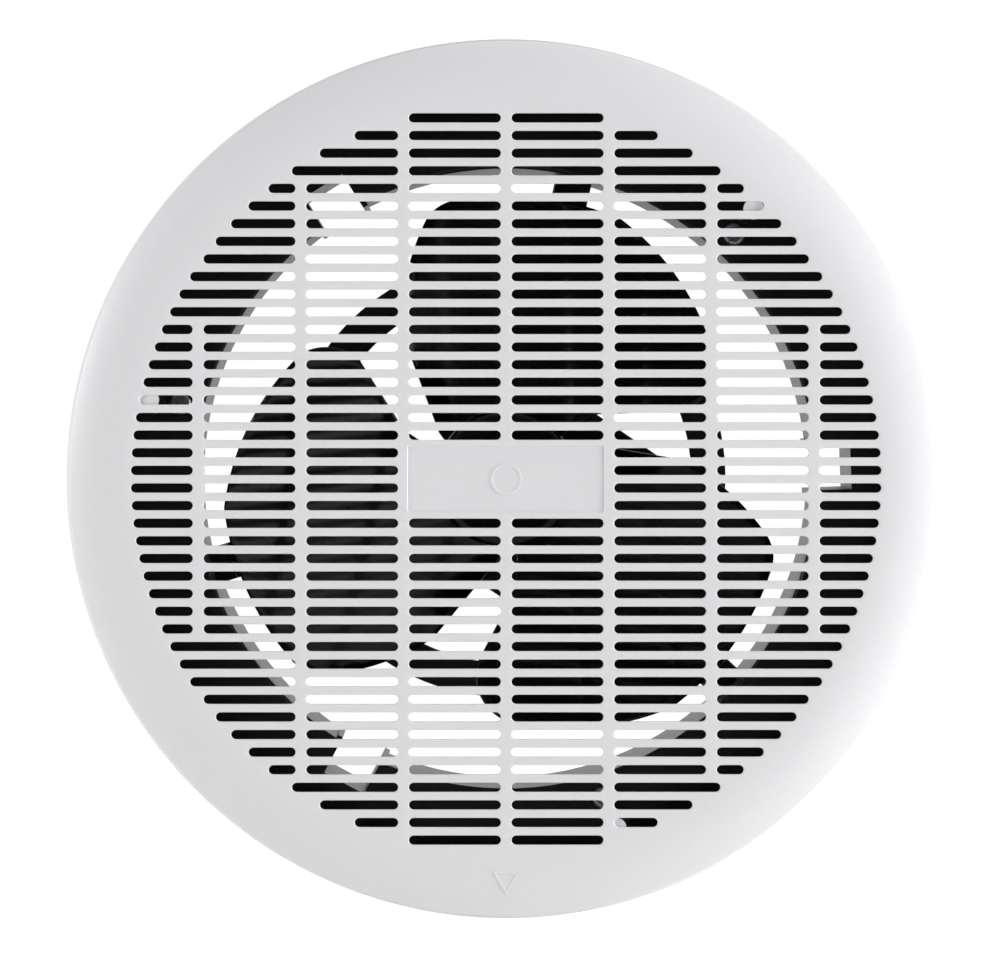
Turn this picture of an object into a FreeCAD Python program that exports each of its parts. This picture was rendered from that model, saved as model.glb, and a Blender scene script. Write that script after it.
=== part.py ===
import FreeCAD, Part
import math
import os
import re
import Sketcher
from FreeCAD import Placement, Rotation, Vector

# A bathroom extractor fan for a round hole in a ceiling or wall, in millimetres.
#
# Every piece is drawn as it is seen from the room: local X is to the right, local Y is up and
# local +Z comes out of the board towards the viewer, so depth behind the board is negative Z.
# The board's face is local Z = 0 and the fan's axis is local Z.  ROOM_VIEW then stands the whole
# fan up: local Z becomes -Y and local Y becomes +Z.  Clock angles are in degrees, anticlockwise
# from 3 o'clock as seen from the room.

os.makedirs("parts", exist_ok=True)
doc = FreeCAD.newDocument("extractor_fan")

# ---------------------------------------------------------------- driving dimensions

SIZES = {
    # white grille
    "grille_radius": 175.0,
    "grille_front": 22.0,
    "grille_wall": 2.5,
    "grille_flat_radius": 150.0,
    "grille_rim_curve": 60.0,
    "grille_rim_gap": 0.5,
    "slot_pitch": 7.0,
    "slot_width": 3.7,
    "slot_field_radius": 149.2,
    "bar_pitch": 40.8,
    "bar_width": 4.2,
    "shortest_slot": 9.5,
    "slot_rows": 42,
    "badge_width": 78.4,
    "badge_height": 26.7,
    "badge_recess": 0.6,
    "roundel_radius": 6.4,
    "post_radius": 3.5,
    "post_circle": 145.5,
    "post_tip": 1.5,
    # black housing
    "flange_radius": 166.0,
    "flange_thick": 3.0,
    "flange_lip": 2.0,
    "collar_radius": 148.5,
    "collar_wall": 2.5,
    "collar_length": 8.0,
    "duct_radius": 124.0,
    "duct_wall": 2.2,
    "duct_length": 85.0,
    "channel_reach": 138.0,
    "channel_width": 18.0,
    "socket_height": 10.0,
    "socket_radius": 6.0,
    "socket_bore": 3.58,
    "ledge_radius": 116.0,
    "ledge_width": 14.0,
    "ledge_height": 16.0,
    "rib_thick": 2.0,
    # ceiling clamps
    "clamp_circle": 133.5,
    "clamp_screw_radius": 2.0,
    "clamp_screw_tip": 62.0,
    "clamp_head_radius": 4.5,
    "clamp_head_height": 3.0,
    "clamp_boss_radius": 5.0,
    "clamp_boss_length": 6.0,
    "toggle_top": 40.0,
    "toggle_height": 12.0,
    "toggle_reach": 32.0,
    "toggle_half_width": 5.2,
    "bush_radius": 3.6,
    "running_fit": 0.08,
    # motor frame
    "frame_front": 52.0,
    "frame_web": 3.0,
    "frame_depth": 12.0,
    "frame_arm_width": 14.8,
    "frame_arm_wall": 2.4,
    "frame_inner_depth": 4.5,
    "frame_arm_end": 123.6,
    "ring_inner": 75.8,
    "ring_outer": 89.7,
    "ring_depth": 5.5,
    "frame_hub_radius": 29.0,
    "frame_hub_hole": 12.5,
    "frame_screw_circle": 118.8,
    "lug_circle": 51.5,
    "lug_radius": 9.0,
    "lug_hole": 5.0,
    # impeller
    "tip_radius": 114.0,
    "hub_radius": 28.0,
    "hub_front": 8.0,
    "hub_back": 44.0,
    "hub_wall": 2.4,
    "hub_boss_radius": 7.5,
    "blade_thick": 2.2,
    "blade_level": 34.0,
    "blade_slope_root": 0.33,
    "blade_slope_tip": 0.27,
    "blade_camber": 8.0,
    # motor
    "shaft_radius": 3.0,
    "bearing_radius": 5.0,
    "bearing_bore": 3.06,
    "bracket_front": 60.0,
    "bracket_thick": 4.0,
    "stack_front": 67.0,
    "stack_thick": 20.0,
    "stack_half_width": 42.0,
    "stack_top": 27.0,
    "stack_bottom": 50.0,
    "stator_bore": 20.35,
    "rotor_radius": 19.95,
    "leg_thick": 16.0,
    "window_half_width": 26.0,
    "window_top": 23.3,
    "coil_build": 8.5,
    "motor_bolt_offset": 34.0,
    "motor_bolt_radius": 2.0,
    "bracket_rear": 90.0,
    "boss_radius": 11.0,
    "rear_cap": 100.0,
    # terminal box and wiring
    "box_front": 14.0,
    "box_back": 68.0,
    "box_half_width": 24.0,
    "box_reach": 142.0,
    "box_wall": 3.0,
    "chamber_half_width": 17.0,
    "chamber_floor": 128.2,
    "lid_thick": 2.0,
    "lid_screw_side": 20.5,
    "lead_way_radius": 3.2,
    "gland_offset": 135.5,
    "gland_side": 9.5,
    "gland_bore": 3.5,
    "gland_thread": 5.2,
    "lead_radius": 2.0,
    "lead_depth": 61.2,
}

CHANNEL_ANGLE = 2.0
CLAMP_ANGLE = 47.0
STRUT_ANGLE = 77.0
MOTOR_ANGLE = 56.0
TERMINAL_ANGLE = STRUT_ANGLE + 240.0
THIRDS = 3
# each copper shading ring links two holes in the core at this angle, at these radii
SHADE_ANGLE = 40.0
SHADE_REACH = (23.4, 31.0)
UP_FROM_PAGE = Rotation(Vector(1, 0, 0), 90)

sheet = doc.addObject("Spreadsheet::Sheet", "Sizes")
for row, (alias, value) in enumerate(SIZES.items(), start=1):
    sheet.set(f"A{row}", alias)
    sheet.set(f"B{row}", str(value))
    sheet.setAlias(f"B{row}", alias)
doc.recompute()


def size(alias):
    """The number that the sheet holds under an alias."""
    return float(sheet.get(alias))


def bound(text):
    """An expression on the sheet: every alias in the text gets the sheet's name in front."""
    return re.sub(r"[a-z][a-z_]+[a-z]", lambda word: word.group() if word.group() not in SIZES
                  else "Sizes." + word.group(), str(text))


def value_of(text):
    """What a bound expression comes to now."""
    return float(sheet.evalExpression(bound(text)))


# ---------------------------------------------------------------- sketches and features

parts = {}


def stand(angle=0.0):
    """The placement of a piece drawn with local X pointing at a clock angle."""
    return Placement(Vector(), UP_FROM_PAGE) * Placement(Vector(), Rotation(Vector(0, 0, 1), angle))


def new_body(label, angle=0.0):
    body = doc.addObject("PartDesign::Body", label)
    body.Label = label
    body.Placement = stand(angle)
    parts[label] = body
    return body


def origin_item(body, role):
    return next(item for item in body.Origin.OriginFeatures if item.Role == role)


def new_sketch(body, name, plane="XY", lift="0", turn=0.0):
    """A sketch on one of the body's own planes, moved along its normal by lift.

    turn swings it about the fan's axis, so that XY sketches keep X radial and YZ sketches
    look outwards along that clock angle, with sketch X tangential and sketch Y along the axis.
    """
    sketch = body.newObject("Sketcher::SketchObject", body.Label + "_" + name)
    sketch.AttachmentSupport = [(origin_item(body, plane + "_Plane"), "")]
    sketch.MapMode = "FlatFace"
    axis = Vector(0, 1, 0) if plane == "YZ" else Vector(0, 0, 1)
    spin = Rotation(axis, turn)
    sketch.AttachmentOffset = Placement(spin.multVec(Vector(0, 0, value_of(lift))), spin)
    if plane == "YZ" and turn:
        sketch.setExpression("AttachmentOffset.Base.x", bound(f"({lift}) * sin({turn})"))
        sketch.setExpression("AttachmentOffset.Base.z", bound(f"({lift}) * cos({turn})"))
    else:
        sketch.setExpression("AttachmentOffset.Base.z", bound(lift))
    return sketch


def fix_point(sketch, item, point, x, y):
    """Dimension one point of a sketch from the sketch's origin, bound to the sheet."""
    for kind, text, axis in (("DistanceX", x, -2), ("DistanceY", y, -1)):
        number = value_of(text)
        if abs(number) < 1e-9:
            sketch.addConstraint(Sketcher.Constraint("PointOnObject", item, point, axis))
        else:
            index = sketch.addConstraint(Sketcher.Constraint(kind, -1, 1, item, point, number))
            sketch.setExpression(f"Constraints[{index}]", bound(text))


def add_circle(sketch, x, y, radius):
    centre = Vector(value_of(x), value_of(y), 0)
    item = sketch.addGeometry(Part.Circle(centre, Vector(0, 0, 1), value_of(radius)))
    fix_point(sketch, item, 3, x, y)
    index = sketch.addConstraint(Sketcher.Constraint("Radius", item, value_of(radius)))
    sketch.setExpression(f"Constraints[{index}]", bound(radius))


def arc_through(start, end, radius, side):
    """The arc of a radius from start to end that bulges to the left (side 1) or right (-1)."""
    chord = end - start
    half = chord.Length / 2
    sagitta = radius - math.sqrt(radius ** 2 - half ** 2)
    left = Vector(-chord.y, chord.x, 0).normalize()
    return Part.Arc(start, (start + end) / 2 + left * sagitta * side, end)


def add_outline(sketch, corners):
    """A closed outline through corners (x, y).

    A corner (x, y, radius, side) starts an arc of that radius instead of a straight edge.
    """
    points = [Vector(value_of(c[0]), value_of(c[1]), 0) for c in corners]
    ends = points[1:] + points[:1]
    first = sketch.GeometryCount
    tails, heads = [], []
    for corner, start, end in zip(corners, points, ends):
        if len(corner) == 2:
            sketch.addGeometry(Part.LineSegment(start, end))
            tails.append(1)
            heads.append(2)
        else:
            arc = arc_through(start, end, value_of(corner[2]), corner[3])
            sketch.addGeometry(arc)
            forward = sketch.getPoint(sketch.GeometryCount - 1, 1).distanceToPoint(start) < 1e-6
            tails.append(1 if forward else 2)
            heads.append(2 if forward else 1)
    count = len(corners)
    for k, corner in enumerate(corners):
        after = (k + 1) % count
        sketch.addConstraint(Sketcher.Constraint(
            "Coincident", first + k, heads[k], first + after, tails[after]))
        fix_point(sketch, first + k, tails[k], corner[0], corner[1])
        if len(corner) > 2:
            index = sketch.addConstraint(
                Sketcher.Constraint("Radius", first + k, value_of(corner[2])))
            sketch.setExpression(f"Constraints[{index}]", bound(corner[2]))


def add_box(sketch, left, right, low, high):
    add_outline(sketch, [(left, low), (right, low), (right, high), (left, high)])


def extrude(body, kind, sketch, name, length, down=True):
    """A Pad or Pocket of a bound length, towards the board's back (down) or the room."""
    before = body.Shape.Volume if body.Tip else 0.0
    feature = body.newObject("PartDesign::" + kind, body.Label + "_" + name)
    feature.Profile = sketch
    feature.Length = value_of(length)
    feature.setExpression("Length", bound(length))
    feature.Reversed = down if kind == "Pad" else not down
    body.Tip = feature
    doc.recompute()
    grew = body.Shape.Volume - before
    if grew * (1 if kind == "Pad" else -1) <= 0:
        raise ValueError(f"{feature.Label} changed nothing: {grew:.3f} mm3")
    return feature


def pad(body, sketch, name, length, down=True):
    return extrude(body, "Pad", sketch, name, length, down)


def pocket(body, sketch, name, length, down=True):
    return extrude(body, "Pocket", sketch, name, length, down)


def turned(body, name, corners, groove=False):
    """A Revolution (or Groove) of an outline (radius, height) round the fan's axis."""
    sketch = new_sketch(body, name + "_profile", "XZ")
    add_outline(sketch, corners)
    before = body.Shape.Volume if body.Tip else 0.0
    kind = "Groove" if groove else "Revolution"
    feature = body.newObject("PartDesign::" + kind, body.Label + "_" + name)
    feature.Profile = sketch
    feature.ReferenceAxis = (sketch, ["V_Axis"])
    feature.Angle = 360.0
    body.Tip = feature
    doc.recompute()
    if (body.Shape.Volume - before) * (-1 if groove else 1) <= 0:
        raise ValueError(f"{feature.Label} changed nothing")
    return feature


def ring_of(body, name, features, count=THIRDS):
    """Repeat features round the fan's axis."""
    pattern = body.newObject("PartDesign::PolarPattern", body.Label + "_" + name)
    pattern.Originals = features
    pattern.Axis = (origin_item(body, "Z_Axis"), [""])
    pattern.Angle = 360.0
    pattern.Occurrences = count
    body.Tip = pattern
    doc.recompute()
    return pattern


def soften(body, name, radius, chosen, kind="Fillet"):
    """Round (or chamfer) the edges of the tip that chosen(edge) picks."""
    base = body.Tip
    edges = [f"Edge{k}" for k, edge in enumerate(base.Shape.Edges, start=1) if chosen(edge)]
    if not edges:
        raise ValueError(f"no edge for {body.Label} {name}")
    feature = body.newObject("PartDesign::" + kind, body.Label + "_" + name)
    feature.Base = (base, edges)
    setattr(feature, "Radius" if kind == "Fillet" else "Size", radius)
    body.Tip = feature
    doc.recompute()
    return feature


def is_ring(edge, radius, height):
    """True for a circle of a radius round the fan's axis at a height."""
    curve = edge.Curve
    return (isinstance(curve, Part.Circle) and abs(curve.Radius - radius) < 0.02
            and abs(curve.Center.z - height) < 0.02
            and math.hypot(curve.Center.x, curve.Center.y) < 0.02)


def is_upright(edge):
    """True for a straight edge parallel to the fan's axis."""
    if not isinstance(edge.Curve, Part.Line):
        return False
    return abs(abs(edge.tangentAt(edge.FirstParameter).z) - 1) < 1e-6


def disc(label, outer, inner, top, bottom, angle=0.0):
    """A plain ring or disc about the fan's axis, from top down to bottom."""
    body = new_body(label, angle)
    sketch = new_sketch(body, "circle", lift=f"-({top})")
    add_circle(sketch, "0", "0", outer)
    if inner != "0":
        add_circle(sketch, "0", "0", inner)
    pad(body, sketch, "body", f"({bottom}) - ({top})")
    return body


# ---------------------------------------------------------------- grille

def slot_spans(half_width):
    """The slots of one row: each column's start and end to the right of the middle bar."""
    spans = []
    start = size("bar_width") / 2
    for column in range(1, 5):
        bar_left = column * size("bar_pitch") - size("bar_width") / 2
        bar_right = bar_left + size("bar_width")
        if half_width < bar_right + size("shortest_slot"):
            end = half_width if half_width > bar_right else min(half_width, bar_left)
            spans.append((start, end))
            return spans
        spans.append((start, bar_left))
        start = bar_right
    return spans


def add_slot(sketch, left, right, height):
    """A slot with full-round ends, lying along sketch X."""
    radius = size("slot_width") / 2
    a, b = left + radius, right - radius
    up, down = height + radius, height - radius
    sketch.addGeometry([
        Part.LineSegment(Vector(a, up, 0), Vector(b, up, 0)),
        Part.Arc(Vector(b, up, 0), Vector(right, height, 0), Vector(b, down, 0)),
        Part.LineSegment(Vector(b, down, 0), Vector(a, down, 0)),
        Part.Arc(Vector(a, down, 0), Vector(left, height, 0), Vector(a, up, 0)),
    ])


def make_grille():
    body = new_body("grille")
    edge = "grille_radius"
    run = "(grille_radius - grille_flat_radius)"
    drop = f"(grille_rim_curve - sqrt(grille_rim_curve^2 - {run}^2))"
    turned(body, "shell", [
        ("0", "grille_front - grille_wall"),
        ("grille_flat_radius", "grille_front - grille_wall", "grille_rim_curve", 1),
        (f"{edge} - grille_wall", f"grille_front - grille_wall - {drop}"),
        (f"{edge} - grille_wall", "grille_rim_gap"),
        (edge, "grille_rim_gap"),
        (edge, f"grille_front - {drop}", "grille_rim_curve", -1),
        ("grille_flat_radius", "grille_front"),
        ("0", "grille_front"),
    ])
    posts = new_sketch(body, "post_circles", lift="post_tip", turn=CLAMP_ANGLE + 0.5)
    add_circle(posts, "post_circle", "0", "post_radius")
    post = pad(body, posts, "post", "grille_front - grille_wall - post_tip + 0.5", down=False)
    ring_of(body, "posts", [post])
    badge = new_sketch(body, "badge", lift="grille_front")
    add_box(badge, "-badge_width / 2", "badge_width / 2", "-badge_height / 2", "badge_height / 2")
    pocket(body, badge, "badge_recess", "badge_recess")
    roundel = new_sketch(body, "roundel", lift="grille_front - badge_recess")
    add_circle(roundel, "0", "0", "roundel_radius")
    pad(body, roundel, "roundel_disc", "badge_recess / 2", down=False)
    soften(body, "rim_corner", 2.5, lambda e: isinstance(e.Curve, Part.Circle)
           and abs(e.Curve.Radius - size("grille_radius")) < 0.01 and e.Curve.Center.z > 5)
    slots = new_sketch(body, "slots", lift="grille_front + 1")
    middle = (size("slot_rows") - 1) / 2
    for row in range(int(size("slot_rows"))):
        height = (row - middle) * size("slot_pitch")
        behind_badge = abs(height) < size("badge_height") / 2
        spans = slot_spans(math.sqrt(size("slot_field_radius") ** 2 - height ** 2))
        for left, right in spans[1:] if behind_badge else spans:
            add_slot(slots, left, right, height)
            add_slot(slots, -right, -left, height)
    pocket(body, slots, "slots_cut", "grille_wall + 2")


# ---------------------------------------------------------------- housing

def make_housing():
    body = new_body("housing")
    duct_outer = "duct_radius + duct_wall"
    turned(body, "shell", [
        ("duct_radius", "flange_thick"),
        ("flange_radius - flange_lip", "flange_thick"),
        ("flange_radius - flange_lip", "flange_thick + flange_lip"),
        ("flange_radius", "flange_thick + flange_lip"),
        ("flange_radius", "0"),
        ("collar_radius", "0"),
        ("collar_radius", "-collar_length"),
        ("collar_radius - collar_wall", "-collar_length"),
        ("collar_radius - collar_wall", "0"),
        (duct_outer, "0"),
        (duct_outer, "-duct_length"),
        ("duct_radius", "-duct_length"),
    ])
    # three keyed channels bulge outwards over the whole length of the duct
    blocks = new_sketch(body, "channel_blocks", lift="flange_thick", turn=CHANNEL_ANGLE)
    side = "(channel_width / 2 + duct_wall)"
    add_box(blocks, "duct_radius - 2", "channel_reach + duct_wall", f"-{side}", side)
    block = pad(body, blocks, "channel_block", "duct_length + flange_thick")
    ring_of(body, "channel_blocks_ring", [block])
    hollows = new_sketch(body, "channel_hollows", lift="flange_thick", turn=CHANNEL_ANGLE)
    add_box(hollows, "duct_radius - 9", "channel_reach", "-channel_width / 2", "channel_width / 2")
    hollow = pocket(body, hollows, "channel_hollow", "duct_length + flange_thick")
    ring_of(body, "channels", [hollow])
    # bosses and full-length stop ribs for the ceiling clamps
    bosses = new_sketch(body, "clamp_bosses", turn=CLAMP_ANGLE)
    add_circle(bosses, "clamp_circle", "0", "clamp_boss_radius")
    boss = pad(body, bosses, "clamp_boss", "clamp_boss_length")
    stops = new_sketch(body, "clamp_stops", turn=CLAMP_ANGLE)
    add_box(stops, "duct_radius + 1", "clamp_circle + 8", "-toggle_half_width - 0.4 - rib_thick",
            "-toggle_half_width - 0.4")
    stop = pad(body, stops, "clamp_stop", "clamp_screw_tip - 4")
    ring_of(body, "clamp_posts", [boss, stop])
    # sockets that hold the grille's posts
    sockets = new_sketch(body, "sockets", turn=CLAMP_ANGLE + 0.5, lift="flange_thick")
    add_circle(sockets, "post_circle", "0", "socket_radius")
    socket = pad(body, sockets, "socket", "socket_height", down=False)
    ring_of(body, "socket_ring", [socket])
    bores = new_sketch(body, "socket_bores", turn=CLAMP_ANGLE + 0.5,
                       lift="flange_thick + socket_height")
    add_circle(bores, "post_circle", "0", "socket_bore")
    bore = pocket(body, bores, "socket_bore", "flange_thick + socket_height - 0.8")
    screw_holes = new_sketch(body, "clamp_holes", turn=CLAMP_ANGLE, lift="flange_thick")
    add_circle(screw_holes, "clamp_circle", "0", "clamp_screw_radius + running_fit")
    screw_hole = pocket(body, screw_holes, "clamp_hole", "flange_thick + clamp_boss_length")
    ring_of(body, "bore_ring", [bore, screw_hole])
    # radial ribs that tie the collar to the duct, between the other features
    ribs = new_sketch(body, "collar_ribs", turn=CHANNEL_ANGLE + 22.5)
    add_box(ribs, "duct_radius + 1", "collar_radius - 1", "-rib_thick / 2", "rib_thick / 2")
    rib = pad(body, ribs, "collar_rib", "collar_length")
    ring_of(body, "collar_ribs_ring", [rib], count=4 * THIRDS)
    # ledges inside the duct that carry the motor frame, with pilot holes
    ledges = new_sketch(body, "ledges", turn=STRUT_ANGLE, lift="-frame_front + ledge_height")
    add_box(ledges, "ledge_radius", "duct_radius + 1", "-ledge_width / 2", "ledge_width / 2")
    ledge = pad(body, ledges, "ledge", "ledge_height")
    pilots = new_sketch(body, "pilots", turn=STRUT_ANGLE, lift="-frame_front")
    add_circle(pilots, "frame_screw_circle", "0", "1.75")
    pilot = pocket(body, pilots, "pilot", "13", down=False)
    ring_of(body, "ledge_ring", [ledge, pilot])
    # the lead's way through the duct wall
    lead_hole = new_sketch(body, "lead_hole", "YZ", lift="chamber_floor + 1", turn=TERMINAL_ANGLE)
    add_circle(lead_hole, "0", "-lead_depth", "lead_way_radius")
    pocket(body, lead_hole, "lead_way", "chamber_floor - duct_radius + 3")
    soften(body, "bell_mouth", 1.5, lambda e: isinstance(e.Curve, Part.Circle)
           and abs(e.Curve.Radius - size("duct_radius")) < 0.02
           and abs(e.CenterOfMass.z - size("flange_thick")) < 0.02)


def make_terminal_box():
    """A box with an open side, seated on the outside of the duct."""
    body = new_body("terminal_box", TERMINAL_ANGLE)
    case = new_sketch(body, "case", lift="-box_front")
    add_box(case, "duct_radius - 2", "box_reach", "-box_half_width", "box_half_width")
    pad(body, case, "box", "box_back - box_front")
    seat = new_sketch(body, "duct_seat", lift="-box_front + 1")
    add_circle(seat, "0", "0", "duct_radius + duct_wall")
    pocket(body, seat, "duct_seat_cut", "box_back - box_front + 2")
    chamber = new_sketch(body, "chamber", lift="-box_front - box_wall")
    add_box(chamber, "chamber_floor", "box_reach + 1", "-chamber_half_width", "chamber_half_width")
    pocket(body, chamber, "chamber_cut", "box_back - box_front - 2 * box_wall")
    entry = new_sketch(body, "gland_entry", lift="-box_back + box_wall + 1")
    add_circle(entry, "gland_offset", "gland_side", "gland_thread + 0.1")
    pocket(body, entry, "gland_hole", "box_wall + 2")
    lead_hole = new_sketch(body, "lead_hole", "YZ", lift="chamber_floor + 1")
    add_circle(lead_hole, "0", "-lead_depth", "lead_way_radius")
    pocket(body, lead_hole, "lead_way", "chamber_floor - duct_radius + 3")
    pilots = new_sketch(body, "lid_pilots", "YZ", lift="box_reach")
    for side in ("-lid_screw_side", "lid_screw_side"):
        add_circle(pilots, side, "-(box_front + box_back) / 2", "1.3")
    pocket(body, pilots, "lid_pilot_holes", "10")


def make_terminal_lid():
    body = new_body("terminal_box_lid", TERMINAL_ANGLE)
    face = new_sketch(body, "face", "YZ", lift="box_reach")
    add_box(face, "-box_half_width", "box_half_width", "-box_back", "-box_front")
    for side in ("-lid_screw_side", "lid_screw_side"):
        add_circle(face, side, "-(box_front + box_back) / 2", "1.6")
    pad(body, face, "plate", "lid_thick", down=False)
    lip = new_sketch(body, "lip", "YZ", lift="box_reach")
    gap = "(box_wall + 0.2)"
    add_box(lip, "-chamber_half_width + 0.2", "chamber_half_width - 0.2",
            f"-box_back + {gap}", f"-box_front - {gap}")
    add_box(lip, "-chamber_half_width + 1.7", "chamber_half_width - 1.7",
            f"-box_back + {gap} + 1.5", f"-box_front - {gap} - 1.5")
    pad(body, lip, "lip_ring", "1")


# ---------------------------------------------------------------- motor frame

def make_motor_frame():
    body = new_body("motor_frame")
    # the ring is a shallow tray with two concentric ribs
    rib = "1.6"
    turned(body, "ring", [
        ("ring_inner", "-frame_front"),
        ("ring_outer", "-frame_front"),
        ("ring_outer", "-frame_front - ring_depth"),
        (f"ring_outer - {rib}", "-frame_front - ring_depth"),
        (f"ring_outer - {rib}", "-frame_front - 2"),
        (f"ring_inner + {rib}", "-frame_front - 2"),
        (f"ring_inner + {rib}", "-frame_front - ring_depth"),
        ("ring_inner", "-frame_front - ring_depth"),
    ])
    hub = new_sketch(body, "hub", lift="-frame_front")
    add_circle(hub, "0", "0", "frame_hub_radius")
    pad(body, hub, "hub_plate", "frame_web")
    # an arm is a channel: shallow inside the ring, deep outside it
    half = "frame_arm_width / 2"
    inner = new_sketch(body, "inner_arms", turn=STRUT_ANGLE, lift="-frame_front")
    add_box(inner, "frame_hub_radius - 6", "ring_inner + 1", f"-{half}", half)
    inner_arm = pad(body, inner, "inner_arm", "frame_inner_depth")
    outer = new_sketch(body, "outer_arms", turn=STRUT_ANGLE, lift="-frame_front")
    add_box(outer, "ring_inner", "frame_arm_end", f"-{half}", half)
    outer_arm = pad(body, outer, "outer_arm", "frame_depth")
    ring_of(body, "arms", [inner_arm, outer_arm])
    groove = new_sketch(body, "arm_grooves", turn=STRUT_ANGLE, lift="-frame_front - frame_web")
    add_box(groove, "frame_hub_radius - 4", "frame_arm_end + 1", f"-{half} + frame_arm_wall",
            f"{half} - frame_arm_wall")
    arm_groove = pocket(body, groove, "arm_groove", "frame_depth")
    screws = new_sketch(body, "foot_holes", turn=STRUT_ANGLE, lift="-frame_front")
    add_circle(screws, "frame_screw_circle", "0", "2.2")
    foot_hole = pocket(body, screws, "foot_hole", "frame_web")
    ring_of(body, "grooves", [arm_groove, foot_hole])
    # two lugs that carry the motor on rubber, joined to the hub and the ring
    for k, angle in enumerate((MOTOR_ANGLE, MOTOR_ANGLE + 180.0), start=1):
        web = new_sketch(body, f"lug_web_{k}", turn=angle, lift="-frame_front")
        add_box(web, "frame_hub_radius - 4", "ring_inner + 1", "-5", "5")
        pad(body, web, f"lug_bar_{k}", "frame_web")
        lug = new_sketch(body, f"lug_{k}", turn=angle, lift="-frame_front")
        add_circle(lug, "lug_circle", "0", "lug_radius")
        pad(body, lug, f"lug_disc_{k}", "frame_web")
        hole = new_sketch(body, f"lug_hole_{k}", turn=angle, lift="-frame_front")
        add_circle(hole, "lug_circle", "0", "lug_hole")
        pocket(body, hole, f"lug_bore_{k}", "frame_web")
    middle = new_sketch(body, "centre_hole", lift="-frame_front")
    add_circle(middle, "0", "0", "frame_hub_hole")
    pocket(body, middle, "centre_bore", "frame_web + frame_depth")


# ---------------------------------------------------------------- screws and nuts

def make_screw(label, places, head_top, head_radius, head_height, shank_radius, tip, cross=1.6,
               angle=0.0, up=True):
    """Pan-head screws as one node: their heads face the room (up) or the board's back.

    places are (x, y) expressions; head_top and tip are depths behind the board.
    """
    body = new_body(label, angle)
    for k, (x, y) in enumerate(places, start=1):
        way = 1 if up else -1
        under = f"({head_top}) + {way} * ({head_height})"
        shank = new_sketch(body, f"shank_{k}", lift=f"-({under})")
        add_circle(shank, x, y, shank_radius)
        length = f"{way} * (({tip}) - ({under}))"
        pad(body, shank, f"shank_pad_{k}", length, down=up)
        head = new_sketch(body, f"head_{k}", lift=f"-({under})")
        add_circle(head, x, y, head_radius)
        pad(body, head, f"head_pad_{k}", head_height, down=not up)
    height = -value_of(head_top)
    soften(body, "domes", value_of(head_height) * 0.55, lambda e: isinstance(e.Curve, Part.Circle)
           and abs(e.Curve.Center.z - height) < 0.02)
    for k, (x, y) in enumerate(places, start=1):
        recess = new_sketch(body, f"cross_{k}", lift=f"-({head_top})")
        arm, half = cross, cross * 0.22
        add_outline(recess, [
            (f"{x} - {arm}", f"{y} - {half}"), (f"{x} - {half}", f"{y} - {half}"),
            (f"{x} - {half}", f"{y} - {arm}"), (f"{x} + {half}", f"{y} - {arm}"),
            (f"{x} + {half}", f"{y} - {half}"), (f"{x} + {arm}", f"{y} - {half}"),
            (f"{x} + {arm}", f"{y} + {half}"), (f"{x} + {half}", f"{y} + {half}"),
            (f"{x} + {half}", f"{y} + {arm}"), (f"{x} - {half}", f"{y} + {arm}"),
            (f"{x} - {half}", f"{y} + {half}"), (f"{x} - {arm}", f"{y} + {half}"),
        ])
        pocket(body, recess, f"cross_cut_{k}", f"({head_height}) * 0.6", down=up)
    return body


def make_nuts(label, places, top, height, across, bore, angle=0.0):
    """Hexagon nuts as one node, from top down by height."""
    body = new_body(label, angle)
    corner = f"({across}) / sqrt(3)"
    for k, (x, y) in enumerate(places, start=1):
        sketch = new_sketch(body, f"hexagon_{k}", lift=f"-({top})")
        add_outline(sketch, [(f"{x} + {corner} * cos({turn})", f"{y} + {corner} * sin({turn})")
                             for turn in range(30, 390, 60)])
        add_circle(sketch, x, y, bore)
        pad(body, sketch, f"nut_{k}", height)
    return body


def make_frame_screws():
    places = [(f"frame_screw_circle * cos({STRUT_ANGLE + 120 * k})",
               f"frame_screw_circle * sin({STRUT_ANGLE + 120 * k})") for k in range(THIRDS)]
    make_screw("frame_screws", places, "frame_front + frame_web + 2.4", "3.75", "2.4", "1.7",
               "frame_front - 11", up=False)


# ---------------------------------------------------------------- impeller

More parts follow.
